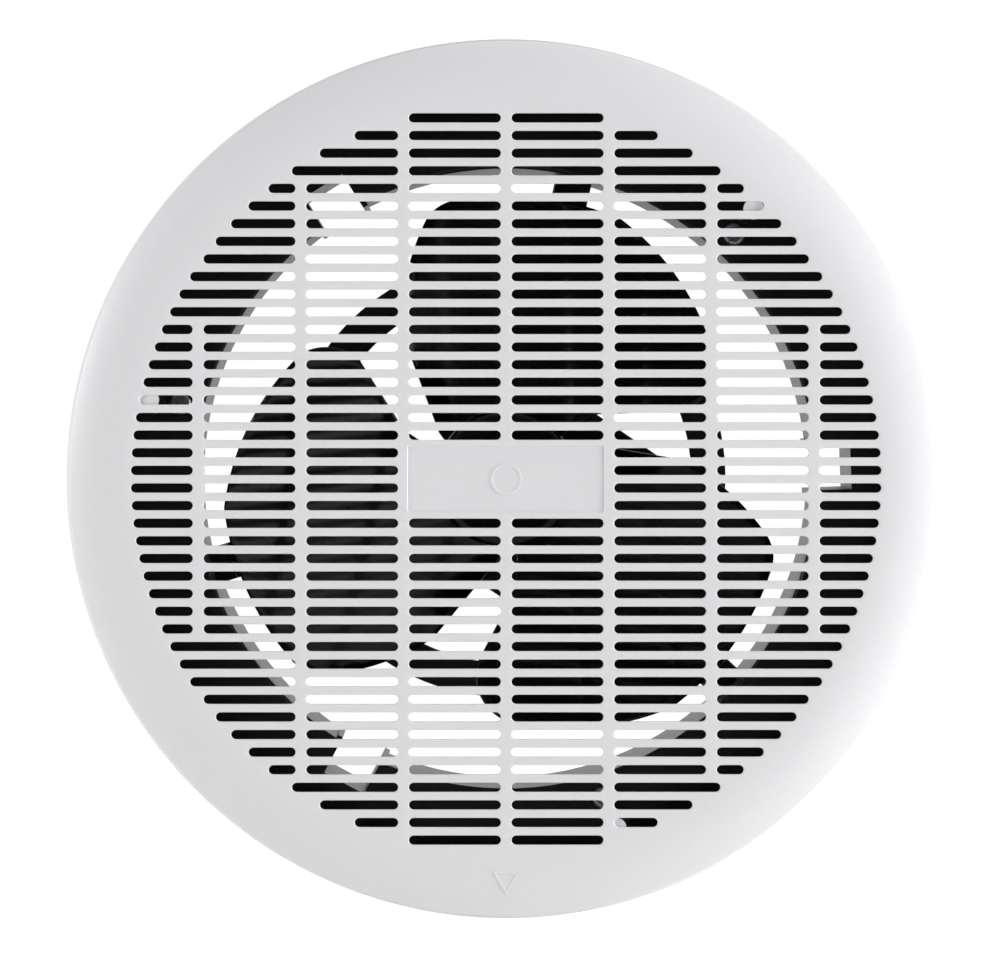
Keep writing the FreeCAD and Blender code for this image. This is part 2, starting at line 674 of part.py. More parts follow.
def make_blade(number):
    """One blade: a cambered, twisted sheet, cut to its outline as seen from the room."""
    body = doc.addObject("PartDesign::Body", f"blade_{number}")
    body.Placement = stand(120.0 * number)
    left, right = -60.0, 100.0
    near, far = 5.0, 120.0
    sections = []
    for name, station, slope in (("near", near, "blade_slope_root"), ("far", far, "blade_slope_tip")):
        sketch = new_sketch(body, name, "XZ", lift=f"-{station}")
        middle = "-blade_level"
        run = (right - left) / 2
        bend = f"(({run}^2 * (1 + {slope}^2) + blade_camber^2) / (2 * blade_camber))"
        low_left = (f"{left}", f"{middle} + {slope} * {left} - blade_thick / 2", bend, 1)
        low_right = (f"{right}", f"{middle} + {slope} * {right} - blade_thick / 2")
        high_right = (f"{right}", f"{middle} + {slope} * {right} + blade_thick / 2", bend, -1)
        high_left = (f"{left}", f"{middle} + {slope} * {left} + blade_thick / 2")
        add_outline(sketch, [low_left, low_right, high_right, high_left])
        sections.append(sketch)
    loft = body.newObject("PartDesign::AdditiveLoft", f"blade_{number}_sheet")
    loft.Profile = sections[0]
    loft.Sections = sections[1:]
    loft.Ruled = True
    body.Tip = loft
    doc.recompute()
    outline = new_sketch(body, "outline", lift="10")
    add_box(outline, "-150", "150", "-30", "160")
    add_outline(outline, [
        ("-18", "6"),
        ("-27", "18"),
        ("-42", "58", "91", 1),
        ("-33", "103", "16", 1),
        ("tip_radius * cos(100)", "tip_radius * sin(100)", "tip_radius", 1),
        ("tip_radius * cos(66)", "tip_radius * sin(66)", "104", 1),
        ("84.5", "46", "20", 1),
        ("70", "27"),
        ("37", "25.6"),
        ("26", "20"),
        ("14", "6"),
    ])
    pocket(body, outline, "trim", "100")
    return body


def make_impeller():
    hub = doc.addObject("PartDesign::Body", "impeller_hub")
    hub.Placement = stand()
    floor = "(hub_front + 5.5)"
    turned(hub, "cup", [
        ("shaft_radius + 0.05", f"-{floor}"),
        ("9", f"-{floor}"),
        ("9", "-hub_front"),
        ("hub_radius", "-hub_front"),
        ("hub_radius", "-hub_back"),
        ("hub_radius - hub_wall", "-hub_back"),
        ("hub_radius - hub_wall", "-hub_front - hub_wall"),
        ("9 + hub_wall", "-hub_front - hub_wall"),
        ("9 + hub_wall", f"-{floor} - hub_wall"),
        ("hub_boss_radius", f"-{floor} - hub_wall"),
        ("hub_boss_radius", "-hub_back"),
        ("shaft_radius + 0.05", "-hub_back"),
    ])
    ribs = new_sketch(hub, "ribs", lift=f"-{floor} - hub_wall + 0.2")
    add_box(ribs, "hub_boss_radius - 1", "hub_radius - 1", "-0.9", "0.9")
    rib = pad(hub, ribs, "rib", f"hub_back - {floor} - 8")
    ring_of(hub, "ribs_ring", [rib], count=2 * THIRDS)
    slot = new_sketch(hub, "pin_slot", lift="-hub_back")
    add_box(slot, "-hub_boss_radius - 0.5", "hub_boss_radius + 0.5", "-1.1", "1.1")
    pocket(hub, slot, "pin_slot_cut", "3", down=False)
    soften(hub, "nose", 4.0, lambda e: is_ring(e, size("hub_radius"), -size("hub_front")))
    blades = [make_blade(number) for number in range(THIRDS)]
    impeller = doc.addObject("Part::MultiFuse", "impeller")
    impeller.Shapes = [hub] + blades
    impeller.Label = "impeller"
    parts["impeller"] = impeller


# ---------------------------------------------------------------- motor

def make_shaft():
    body = disc("shaft", "shaft_radius", "0", "hub_front - 3", "rear_cap - 2")
    soften(body, "ends", 0.5, lambda e: isinstance(e.Curve, Part.Circle), kind="Chamfer")
    hole = new_sketch(body, "pin_hole", "YZ", lift="-5")
    add_circle(hole, "0", "-hub_back + 1.5", "1.0")
    pocket(body, hole, "pin_bore", "10", down=False)
    pin = new_body("drive_pin")
    pin_round = new_sketch(pin, "round", "YZ", lift="-hub_boss_radius + 0.5")
    add_circle(pin_round, "0", "-hub_back + 1.5", "1.0")
    pad(pin, pin_round, "rod", "2 * hub_boss_radius - 1", down=False)


def make_impeller_fixings():
    washer_top = "hub_front + 4.7"
    disc("impeller_washer", "6.5", "shaft_radius + 0.05", washer_top, "hub_front + 5.5")
    make_nuts("impeller_nut", [("0", "0")], "hub_front - 0.3", "5.0", "10", "shaft_radius")


def make_stator():
    core = new_body("stator_core", MOTOR_ANGLE)
    sheet_outline = new_sketch(core, "lamination", lift="-stack_front")
    chamfer = 5
    top, bottom, half = "stack_top", "-stack_bottom", "stack_half_width"
    add_outline(sheet_outline, [
        (f"-{half}", bottom), (half, bottom), (half, f"{top} - {chamfer}"),
        (f"{half} - {chamfer}", top), (f"-{half} + {chamfer}", top), (f"-{half}", f"{top} - {chamfer}"),
    ])
    add_circle(sheet_outline, "0", "0", "stator_bore")
    leg_top = "-stack_bottom + leg_thick"
    add_box(sheet_outline, "-window_half_width", "window_half_width", leg_top, "-window_top")
    for side in ("-1", "1"):
        add_circle(sheet_outline, f"{side} * motor_bolt_offset", "0", "motor_bolt_radius + 0.1")
        for way in ("-1", "1"):
            for reach in SHADE_REACH:
                add_circle(sheet_outline, f"{side} * {reach} * cos({SHADE_ANGLE})",
                           f"{way} * {reach} * sin({SHADE_ANGLE})", "1.35")
    pad(core, sheet_outline, "stack", "stack_thick")

    rings = new_body("shading_rings", MOTOR_ANGLE)
    stand_off = "1.4"
    for k, (side, way) in enumerate(((1, 1), (-1, 1), (-1, -1), (1, -1)), start=1):
        direction = math.degrees(math.atan2(way * math.sin(math.radians(SHADE_ANGLE)),
                                            side * math.cos(math.radians(SHADE_ANGLE))))
        legs = new_sketch(rings, f"legs_{k}", lift=f"-stack_front + {stand_off}", turn=direction)
        for reach in SHADE_REACH:
            add_circle(legs, f"{reach}", "0", "1.3")
        pad(rings, legs, f"leg_{k}", f"stack_thick + 2 * {stand_off}")
        for end, lift in (("front", f"-stack_front + {stand_off}"),
                          ("rear", "-stack_front - stack_thick")):
            bar = new_sketch(rings, f"{end}_bar_{k}", lift=lift, turn=direction)
            add_box(bar, f"{SHADE_REACH[0]}", f"{SHADE_REACH[1]}", "-1.3", "1.3")
            pad(rings, bar, f"{end}_bar_pad_{k}", stand_off)

    # the bobbin is a square tube round the leg with two end flanges
    bobbin = new_body("coil_bobbin", MOTOR_ANGLE)
    wall = "1.2"
    low, high = "(-stack_bottom)", "(-stack_bottom + leg_thick)"
    back, front = "(-stack_front - stack_thick)", "(-stack_front)"
    tube = new_sketch(bobbin, "tube", "YZ", lift="-window_half_width + 1")
    add_box(tube, f"{low} - {wall}", f"{high} + {wall}", f"{back} - {wall}", f"{front} + {wall}")
    pad(bobbin, tube, "tube_pad", "2 * window_half_width - 2", down=False)
    for k, lift in enumerate(("-window_half_width + 1", "window_half_width - 3"), start=1):
        flange = new_sketch(bobbin, f"flange_{k}", "YZ", lift=lift)
        add_box(flange, f"{low} - coil_build - 1.5", "-window_top - 0.7",
                f"{back} - coil_build", f"{front} + coil_build")
        pad(bobbin, flange, f"flange_pad_{k}", "2", down=False)
    hole = new_sketch(bobbin, "leg_hole", "YZ", lift="-window_half_width")
    add_box(hole, f"{low} - 0.1", f"{high} + 0.1", f"{back} - 0.1", f"{front} + 0.1")
    pocket(bobbin, hole, "leg_way", "2 * window_half_width", down=False)

    coil = new_body("coil_winding", MOTOR_ANGLE)
    turns = new_sketch(coil, "turns", "YZ", lift="-window_half_width + 3.1")
    add_box(turns, f"{low} - coil_build", "-window_top - 1.2", f"{back} - coil_build + 1",
            f"{front} + coil_build - 1")
    pad(coil, turns, "turns_pad", "2 * window_half_width - 6.2", down=False)
    soften(coil, "corners", 3.0, lambda e: isinstance(e.Curve, Part.Line)
           and abs(abs(e.tangentAt(e.FirstParameter).x) - 1) < 1e-6)
    core_way = new_sketch(coil, "core_way", "YZ", lift="-window_half_width")
    add_box(core_way, f"{low} - {wall} - 0.1", f"{high} + {wall} + 0.1",
            f"{back} - {wall} - 0.1", f"{front} + {wall} + 0.1")
    pocket(coil, core_way, "core_way_cut", "2 * window_half_width", down=False)


def make_rotor():
    core = disc("rotor_core", "rotor_radius", "shaft_radius", "stack_front",
                "stack_front + stack_thick")
    bars = 16
    holes = new_sketch(core, "bar_holes", lift="-stack_front")
    add_circle(holes, "rotor_radius - 2.4", "0", "1.3")
    bar_hole = pocket(core, holes, "bar_hole", "stack_thick")
    ring_of(core, "bar_holes_ring", [bar_hole], count=bars)

    cage = disc("rotor_cage", "rotor_radius - 0.6", "10", "stack_front - 2.5", "stack_front")
    rear = new_sketch(cage, "rear_ring", lift="-stack_front - stack_thick")
    add_circle(rear, "0", "0", "rotor_radius - 0.6")
    add_circle(rear, "0", "0", "10")
    bar = new_sketch(cage, "bar", lift="-stack_front + 0.5")
    add_circle(bar, "rotor_radius - 2.4", "0", "1.28")
    bar_pad = pad(cage, bar, "bar_pad", "stack_thick + 1")
    ring_of(cage, "bars", [bar_pad], count=bars)
    pad(cage, rear, "rear_ring_pad", "2.5")


def make_brackets():
    bolt = "motor_bolt_offset"
    front = new_body("front_bracket", MOTOR_ANGLE)
    bar = new_sketch(front, "bar", lift="-bracket_front")
    reach, half = "lug_circle", "9"
    add_outline(bar, [(f"-{reach}", f"-{half}"), (reach, f"-{half}", half, -1),
                      (f"{reach} + {half}", "0", half, -1), (reach, half),
                      (f"-{reach}", half, half, -1), (f"-{reach} - {half}", "0", half, -1)])
    for side in ("-1", "1"):
        add_circle(bar, f"{side} * {bolt}", "0", "motor_bolt_radius + 0.1")
        add_circle(bar, f"{side} * {reach}", "0", "2.2")
    pad(front, bar, "plate", "bracket_thick")
    pads = new_sketch(front, "pads", lift="-bracket_front - bracket_thick")
    for side in ("-1", "1"):
        add_circle(pads, f"{side} * {bolt}", "0", "5")
        add_circle(pads, f"{side} * {bolt}", "0", "motor_bolt_radius + 0.1")
    pad(front, pads, "pad_discs", "stack_front - bracket_front - bracket_thick")
    boss = new_sketch(front, "boss", lift="-bracket_front")
    add_circle(boss, "0", "0", "boss_radius")
    pad(front, boss, "boss_pad", "6", down=False)
    well = new_sketch(front, "felt_well", lift="-bracket_front + 2")
    add_circle(well, "0", "0", "8.5")
    pocket(front, well, "felt_well_cut", "bracket_thick + 2")
    bore = new_sketch(front, "bearing_bore", lift="-bracket_front + 6")
    add_circle(bore, "0", "0", "bearing_radius + 0.02")
    pocket(front, bore, "bearing_way", "6")

    rear = new_body("rear_bracket", MOTOR_ANGLE)
    plate = new_sketch(rear, "bar", lift="-bracket_rear")
    reach = "motor_bolt_offset"
    add_outline(plate, [(f"-{reach}", f"-{half}"), (reach, f"-{half}", half, -1),
                        (f"{reach} + {half}", "0", half, -1), (reach, half),
                        (f"-{reach}", half, half, -1), (f"-{reach} - {half}", "0", half, -1)])
    for side in ("-1", "1"):
        add_circle(plate, f"{side} * {bolt}", "0", "motor_bolt_radius + 0.1")
    pad(rear, plate, "plate", "3.5")
    pads = new_sketch(rear, "pads", lift="-stack_front - stack_thick")
    for side in ("-1", "1"):
        add_circle(pads, f"{side} * {bolt}", "0", "5")
        add_circle(pads, f"{side} * {bolt}", "0", "motor_bolt_radius + 0.1")
    pad(rear, pads, "pad_discs", "bracket_rear - stack_front - stack_thick")
    boss = new_sketch(rear, "boss", lift="-bracket_rear")
    add_circle(boss, "0", "0", "boss_radius")
    pad(rear, boss, "boss_pad", "rear_cap - bracket_rear")
    well = new_sketch(rear, "felt_well", lift="-bracket_rear")
    add_circle(well, "0", "0", "8.5")
    pocket(rear, well, "felt_well_cut", "5.5")
    bore = new_sketch(rear, "bearing_bore", lift="-bracket_rear")
    add_circle(bore, "0", "0", "bearing_radius + 0.02")
    pocket(rear, bore, "bearing_way", "8.6")
    soften(rear, "cap_edge", 2.0, lambda e: is_ring(e, size("boss_radius"), -size("rear_cap")))

    disc("front_bearing", "bearing_radius", "bearing_bore", "bracket_front - 6",
         "bracket_front + 3.2")
    disc("rear_bearing", "bearing_radius", "bearing_bore", "bracket_rear + 0.4",
         "bracket_rear + 8.6")
    felts = disc("oil_felts", "8.4", "bearing_radius + 0.05", "bracket_front - 1.9",
                 "bracket_front + 2")
    rear_felt = new_sketch(felts, "rear", lift="-bracket_rear - 1.5")
    add_circle(rear_felt, "0", "0", "8.4")
    add_circle(rear_felt, "0", "0", "bearing_radius + 0.05")
    pad(felts, rear_felt, "rear_pad", "3.9")
    washers = disc("thrust_washers", "5.5", "shaft_radius", "bracket_front + 3.5",
                   "stack_front - 2.5")
    rear_washer = new_sketch(washers, "rear", lift="-stack_front - stack_thick")
    add_circle(rear_washer, "0", "0", "5.5")
    add_circle(rear_washer, "0", "0", "shaft_radius")
    pad(washers, rear_washer, "rear_pad", "bracket_rear + 0.1 - stack_front - stack_thick")


def make_motor_fixings():
    bolts = [("-motor_bolt_offset", "0"), ("motor_bolt_offset", "0")]
    make_screw("motor_bolts", bolts, "bracket_rear + 3.5 + 2.6", "3.7", "2.6", "motor_bolt_radius",
               "bracket_front - 4", angle=MOTOR_ANGLE, up=False)
    make_nuts("motor_nuts", bolts, "bracket_front - 3.2", "3.2", "7", "motor_bolt_radius + 0.02",
              angle=MOTOR_ANGLE)
    mounts = [("-lug_circle", "0"), ("lug_circle", "0")]
    make_screw("mount_screws", mounts, "frame_front - 4.2", "3.8", "2.2", "2.1",
               "bracket_front + bracket_thick + 4.5", angle=MOTOR_ANGLE)
    make_nuts("mount_nuts", mounts, "bracket_front + bracket_thick", "3.2", "7", "2.12",
              angle=MOTOR_ANGLE)
    grommets = new_body("isolator_grommets", MOTOR_ANGLE)
    for k, (x, y) in enumerate(mounts, start=1):
        steps = (("front", "frame_front - 2", "7.5", "2"),
                 ("neck", "frame_front", "lug_hole - 0.05", "frame_web"),
                 ("back", "frame_front + frame_web", "7.5", "bracket_front - frame_front - frame_web"))
        for name, top, radius, height in steps:
            sketch = new_sketch(grommets, f"{name}_{k}", lift=f"-({top})")
            add_circle(sketch, x, y, radius)
            add_circle(sketch, x, y, "2.15")
            pad(grommets, sketch, f"{name}_pad_{k}", height)


# ---------------------------------------------------------------- wiring

def make_wiring():
    block = new_body("terminal_block", TERMINAL_ANGLE)
    face = new_sketch(block, "plan", lift="-(box_front + 11)")
    add_box(face, "chamber_floor", "chamber_floor + 10", "-14", "14")
    pad(block, face, "block", "20")
    pitch = 9
    for k in (-1, 0, 1):
        way = new_sketch(block, f"way_{k + 2}", lift="-(box_front + 11)")
        add_circle(way, "chamber_floor + 5", f"{k * pitch}", "2.1")
        pocket(block, way, f"wire_way_{k + 2}", "20")
        head = new_sketch(block, f"screw_way_{k + 2}", "YZ", lift="chamber_floor + 10")
        for depth in ("-(box_front + 16)", "-(box_front + 26)"):
            add_circle(head, f"{k * pitch}", depth, "2.0")
        pocket(block, head, f"screw_way_cut_{k + 2}", "5")
    screws = new_body("terminal_screws", TERMINAL_ANGLE)
    for k in (-1, 0, 1):
        rod = new_sketch(screws, f"rod_{k + 2}", "YZ", lift="chamber_floor + 9.4")
        for depth in ("-(box_front + 16)", "-(box_front + 26)"):
            add_circle(rod, f"{k * pitch}", depth, "1.9")
        pad(screws, rod, f"rod_pad_{k + 2}", "4.2")

    gland = new_body("cable_gland", TERMINAL_ANGLE)
    thread_front = "box_back - box_wall - 4.5"
    for name, top, radius, height in (("thread", thread_front, "gland_thread", "box_wall + 4.5"),
                                      ("dome", "box_back + 5", "6.8", "9")):
        sketch = new_sketch(gland, name, lift=f"-({top})")
        add_circle(sketch, "gland_offset", "gland_side", radius)
        pad(gland, sketch, name + "_pad", height)
    collar = new_sketch(gland, "hexagon", lift="-box_back")
    corner = "7.6"
    add_outline(collar, [(f"gland_offset + {corner} * cos({turn})",
                          f"gland_side + {corner} * sin({turn})") for turn in range(0, 360, 60)])
    pad(gland, collar, "hexagon_pad", "5")
    bore = new_sketch(gland, "bore", lift=f"-({thread_front})")
    add_circle(bore, "gland_offset", "gland_side", "gland_bore")
    pocket(gland, bore, "cable_way", "box_wall + 18.5")
    make_nuts("gland_nut", [("gland_offset", "gland_side")], "box_back - box_wall - 3.4", "3.4", "10.8",
              "gland_thread + 0.05", angle=TERMINAL_ANGLE)

    grommet = new_body("lead_grommet", TERMINAL_ANGLE)
    for name, at, radius, length in (("inner", "duct_radius - 0.35", "3.75", "0.3"),
                                     ("neck", "duct_radius - 0.35", "3.15", "5.4")):
        sketch = new_sketch(grommet, name, "YZ", lift=at)
        add_circle(sketch, "0", "-lead_depth", radius)
        pad(grommet, sketch, name + "_pad", length, down=False)
    hole = new_sketch(grommet, "hole", "YZ", lift="duct_radius - 2")
    add_circle(hole, "0", "-lead_depth", "lead_radius + 0.05")
    pocket(grommet, hole, "hole_cut", "8", down=False)

    clips = new_body("lead_clips", TERMINAL_ANGLE)
    half = "(frame_arm_width / 2)"
    for k, at in enumerate(("97", "109"), start=1):
        clip = new_sketch(clips, f"clip_{k}", "YZ", lift=at)
        top = "(-frame_front - frame_depth)"
        add_outline(clip, [
            (f"-{half} - 1.3", f"{top} - 1.3"), (f"{half} + 1.3", f"{top} - 1.3"),
            (f"{half} + 1.3", f"{top} + 4"), (f"{half} + 0.1", f"{top} + 4"),
            (f"{half} + 0.1", f"{top} - 0.05"), (f"-{half} - 0.1", f"{top} - 0.05"),
            (f"-{half} - 0.1", f"{top} + 4"), (f"-{half} - 1.3", f"{top} + 4"),
        ])
        pad(clips, clip, f"clip_pad_{k}", "6", down=False)

    make_lead()


def rounded_path(points, radii):
    """Straight runs joined by tangent arcs, one radius for each inner point."""
    edges = []
    at = points[0]
    for before, corner, after, radius in zip(points, points[1:], points[2:], radii):
        into = (corner - before).normalize()
        away = (after - corner).normalize()
        turn = into.getAngle(away)
        cut = radius * math.tan(turn / 2)
        start, end = corner - into * cut, corner + away * cut
        middle = (start + end) / 2
        out = (corner - middle).normalize()
        bow = radius * (1 - math.cos(turn / 2))
        edges.append(Part.makeLine(at, start))
        edges.append(Part.Arc(start, middle + out * bow, end).toShape())
        print(f"lead bend: radius {radius:.1f} mm, turn {math.degrees(turn):.0f} degrees")
        at = end
    edges.append(Part.makeLine(at, points[-1]))
    return Part.Wire(edges)


def make_lead():
    """The two-core lead from the coil to the terminal block, in its clips all the way."""
    depth = size("lead_depth")
    coil = MOTOR_ANGLE - 90.0 - TERMINAL_ANGLE + 360.0
    out = Vector(math.cos(math.radians(coil)), math.sin(math.radians(coil)), 0)
    points = [out * 59.2 + Vector(0, 0, -77), out * 69 + Vector(0, 0, -77),
              Vector(84, 2, -depth - 7.5), Vector(97, 0, -depth), Vector(134.5, 0, -depth),
              Vector(134.5, 0, -45.2)]
    wire = rounded_path(points, [10.0, 20.0, 22.0, 5.0])
    start = points[0]
    section = Part.Wire(Part.makeCircle(size("lead_radius"), start, points[1] - points[0]))
    pipe = wire.makePipeShell([section], True, False)
    lead = doc.addObject("Part::Feature", "motor_lead")
    lead.Shape = pipe
    lead.Placement = stand(TERMINAL_ANGLE)
    lead.Label = "motor_lead"
    parts["motor_lead"] = lead
    expected = math.pi * size("lead_radius") ** 2 * wire.Length
    print(f"lead: {wire.Length:.1f} mm long, volume {pipe.Volume:.0f} of {expected:.0f} mm3")


def make_lid_screws():
    """Two small screws whose heads sit on the terminal box lid."""
    body = new_body("lid_screws", TERMINAL_ANGLE)
    middle = "-(box_front + box_back) / 2"
    for k, side in enumerate(("-lid_screw_side", "lid_screw_side"), start=1):
        shank = new_sketch(body, f"shank_{k}", "YZ", lift="box_reach - 8")
        add_circle(shank, side, middle, "1.25")
        pad(body, shank, f"shank_pad_{k}", "8 + lid_thick", down=False)
        head = new_sketch(body, f"head_{k}", "YZ", lift="box_reach + lid_thick")
        add_circle(head, side, middle, "2.6")
        pad(body, head, f"head_pad_{k}", "1.6", down=False)
        slot = new_sketch(body, f"slot_{k}", "YZ", lift="box_reach + lid_thick + 1.6")
        add_box(slot, f"{side} - 2", f"{side} + 2", f"{middle} - 0.35", f"{middle} + 0.35")
        pocket(body, slot, f"slot_cut_{k}", "0.8")


# ---------------------------------------------------------------- ceiling clamps

def make_clamp(number):
    angle = CLAMP_ANGLE + 120.0 * (number - 1)
    axis = [("clamp_circle", "0")]
    make_screw(f"clamp_screw_{number}", axis, "-flange_thick - clamp_head_height",
               "clamp_head_radius", "clamp_head_height", "clamp_screw_radius",
               "clamp_screw_tip", cross=2.4, angle=angle)
    clip = new_body(f"retaining_clip_{number}", angle)
    ring = new_sketch(clip, "ring", lift="-clamp_boss_length - 0.3")
    add_circle(ring, "clamp_circle", "0", "4.2")
    add_circle(ring, "clamp_circle", "0", "clamp_screw_radius")
    pad(clip, ring, "plate", "0.8")
    mouth = new_sketch(clip, "mouth", lift="-clamp_boss_length - 0.3")
    add_box(mouth, "clamp_circle + 1.4", "clamp_circle + 5", "-1.4", "1.4")
    pocket(clip, mouth, "mouth_cut", "0.8")

    bush = new_body(f"clamp_bush_{number}", angle)
    for name, top, radius, height in (
            ("lip", "toggle_top - 1.2", "4.4", "0.9"),
            ("barrel", "toggle_top - 1.2", "bush_radius", "toggle_height + 1.6"),
            ("flange", "toggle_top + toggle_height + 0.3", "5", "2")):
        sketch = new_sketch(bush, name, lift=f"-({top})")
        add_circle(sketch, "clamp_circle", "0", radius)
        pad(bush, sketch, name + "_pad", height)
    bore = new_sketch(bush, "thread", lift="-(toggle_top - 1.2)")
    add_circle(bore, "clamp_circle", "0", "clamp_screw_radius + running_fit")
    pocket(bush, bore, "thread_bore", "toggle_height + 4")

    toggle = new_body(f"toggle_{number}", angle)
    hub = new_sketch(toggle, "hub", lift="-toggle_top")
    add_circle(hub, "clamp_circle", "0", "toggle_half_width")
    pad(toggle, hub, "hub_pad", "toggle_height")
    arm = new_sketch(toggle, "arm", lift="-toggle_top")
    add_box(arm, "clamp_circle - toggle_half_width", "clamp_circle + toggle_half_width",
            "0", "toggle_reach")
    pad(toggle, arm, "arm_pad", "3.5")
    soften(toggle, "arm_end", 3.0, lambda e: is_upright(e) and e.CenterOfMass.y > 20)
    rib = new_sketch(toggle, "rib", "YZ", lift="clamp_circle - 1.3")
    add_outline(rib, [("4", "-toggle_top - 3"), ("toggle_reach - 5", "-toggle_top - 3"),
                      ("toggle_reach - 5", "-toggle_top - 5"),
                      ("4", "-toggle_top - toggle_height + 0.5")])
    pad(toggle, rib, "rib_pad", "2.6", down=False)
    teeth = new_sketch(toggle, "teeth", "YZ", lift="clamp_circle - 3.5")
    first, pitch = 20, 3
    for k in range(3):
        low = first + k * pitch
        add_outline(teeth, [(f"{low}", "-toggle_top - 0.5"), (f"{low + 2}", "-toggle_top - 0.5"),
                            (f"{low + 2}", "-toggle_top + 0.8")])
    pad(toggle, teeth, "teeth_pad", "7", down=False)
    bore = new_sketch(toggle, "bore", lift="-toggle_top")
    add_circle(bore, "clamp_circle", "0", "bush_radius + running_fit")
    pocket(toggle, bore, "pivot_bore", "toggle_height")


# ---------------------------------------------------------------- build and export

make_grille()
make_housing()
make_terminal_box()
make_terminal_lid()
make_motor_frame()
make_frame_screws()
make_impeller()
make_shaft()
make_impeller_fixings()
make_stator()
make_rotor()
make_brackets()
make_motor_fixings()
make_wiring()
make_lid_screws()
for clamp in range(1, THIRDS + 1):
    make_clamp(clamp)
doc.recompute()

for item in doc.Objects:
    if "Invalid" in item.State or "Error" in item.State:
        raise RuntimeError(f"{item.Label} failed: {item.State}")
for node, item in parts.items():
    shape = item.Shape
    if shape.isNull() or not shape.isValid():
        raise RuntimeError(f"{node} has no valid shape")
    shape.exportStep(f"parts/{node}.step")
    box = shape.BoundBox
    print(f"{node}: {len(shape.Solids)} solid(s), {shape.Volume:.0f} mm3, "
          f"x {box.XMin:.1f}..{box.XMax:.1f} y {box.YMin:.1f}..{box.YMax:.1f} "
          f"z {box.ZMin:.1f}..{box.ZMax:.1f}")
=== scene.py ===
# %% [markdown]
# # A bathroom extractor fan, finished for the camera
#
# The fan's metal and plastic parts come from an engineering model, used where it puts them and at
# its own size.  This lesson gives them real materials, and rebuilds the pieces whose looks depend
# on
# fine shape: the white slotted grille, the swept impeller and the wound coil.  Everything is in
# metres: +X is to the right as seen from the room, +Z is up, and +Y points through the board
# into the duct.

# %% Load the fixed frame
import math

import bmesh
import bpy
import numpy as np
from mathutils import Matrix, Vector
from mathutils.geometry import delaunay_2d_cdt


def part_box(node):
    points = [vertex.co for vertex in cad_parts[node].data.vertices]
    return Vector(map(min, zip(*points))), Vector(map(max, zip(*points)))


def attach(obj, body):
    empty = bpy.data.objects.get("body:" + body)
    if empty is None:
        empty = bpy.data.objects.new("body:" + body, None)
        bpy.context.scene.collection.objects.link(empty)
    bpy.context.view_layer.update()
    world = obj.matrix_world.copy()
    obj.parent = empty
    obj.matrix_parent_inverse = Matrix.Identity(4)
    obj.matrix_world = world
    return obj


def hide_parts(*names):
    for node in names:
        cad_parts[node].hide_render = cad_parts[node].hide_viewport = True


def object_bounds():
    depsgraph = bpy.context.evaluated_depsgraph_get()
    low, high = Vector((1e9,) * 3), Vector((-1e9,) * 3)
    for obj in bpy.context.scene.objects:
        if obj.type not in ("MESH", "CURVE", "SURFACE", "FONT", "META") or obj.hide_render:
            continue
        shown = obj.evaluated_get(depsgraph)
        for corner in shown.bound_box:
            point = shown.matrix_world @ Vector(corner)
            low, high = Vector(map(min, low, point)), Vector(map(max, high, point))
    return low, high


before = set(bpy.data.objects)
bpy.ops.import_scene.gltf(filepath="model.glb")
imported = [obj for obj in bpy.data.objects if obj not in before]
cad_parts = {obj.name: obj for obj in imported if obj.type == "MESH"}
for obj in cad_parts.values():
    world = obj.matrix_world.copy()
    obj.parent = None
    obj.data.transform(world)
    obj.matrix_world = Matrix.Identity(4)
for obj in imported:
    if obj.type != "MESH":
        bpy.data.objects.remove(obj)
cad_low, cad_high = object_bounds()
MM = 0.001
print("CAD box in mm:", [round((b - a) / MM, 1) for a, b in zip(cad_low, cad_high)])

# %% [markdown]
# ## Surfaces as arrays
#
# A moulded or turned surface is a function of two numbers, for example the angle round an axis
# and the distance along a profile.  It could be modelled by hand or with modifiers, but a grid
# worked out with numpy keeps every size exact, so that is the way chosen here.  All the pieces
# share two helpers: one numbers the faces of a grid, the other makes the Blender mesh.

# %% Grid faces and meshes


def grid_faces(rows, columns, close_rows=False, close_columns=False):
    """Quads of a rows x columns grid: corner (i, j), (i, j+1), (i+1, j+1), (i+1, j).

    A closed direction joins its last row or column to the first one.
    """
    i = np.arange(rows if close_rows else rows - 1)
    j = np.arange(columns if close_columns else columns - 1)
    i, j = np.meshgrid(i, j, indexing="ij")
    i2, j2 = (i + 1) % rows, (j + 1) % columns
    quads = np.stack([i * columns + j, i * columns + j2, i2 * columns + j2, i2 * columns + j], -1)
    return quads.reshape(-1, 4)


def make_piece(name, points, faces, smooth_below=35.0, outward=False):
    """A mesh object from points (n, 3) in metres and a list of face index arrays.

    Edges between faces that meet at less than smooth_below degrees are shaded smooth, and
    outward turns the faces of each closed shell to point out of it.
    """
    mesh = bpy.data.meshes.new(name)
    mesh.from_pydata(np.asarray(points).tolist(), [], [f for part in faces for f in part.tolist()])
    if outward:
        skin = bmesh.new()
        skin.from_mesh(mesh)
        bmesh.ops.recalc_face_normals(skin, faces=skin.faces)
        print(name, "open edges:", sum(not edge.is_manifold for edge in skin.edges))
        skin.to_mesh(mesh)
        skin.free()
    piece = bpy.data.objects.new(name, mesh)
    bpy.context.collection.objects.link(piece)
    mesh.polygons.foreach_set("use_smooth", np.ones(len(mesh.polygons), bool))
    mesh.set_sharp_from_angle(angle=math.radians(smooth_below))
    print(f"{name}: {len(mesh.vertices)} points, {len(mesh.polygons)} faces")
    return piece


def stood_up(x, y, z):
    """Points drawn as seen from the room (x right, y up, z towards the viewer) in the row frame.

    The row frame has +Y into the board, so (x, y, z) becomes (x, -z, y).
    """
    return np.stack(np.broadcast_arrays(x, -np.asarray(z), y), -1)


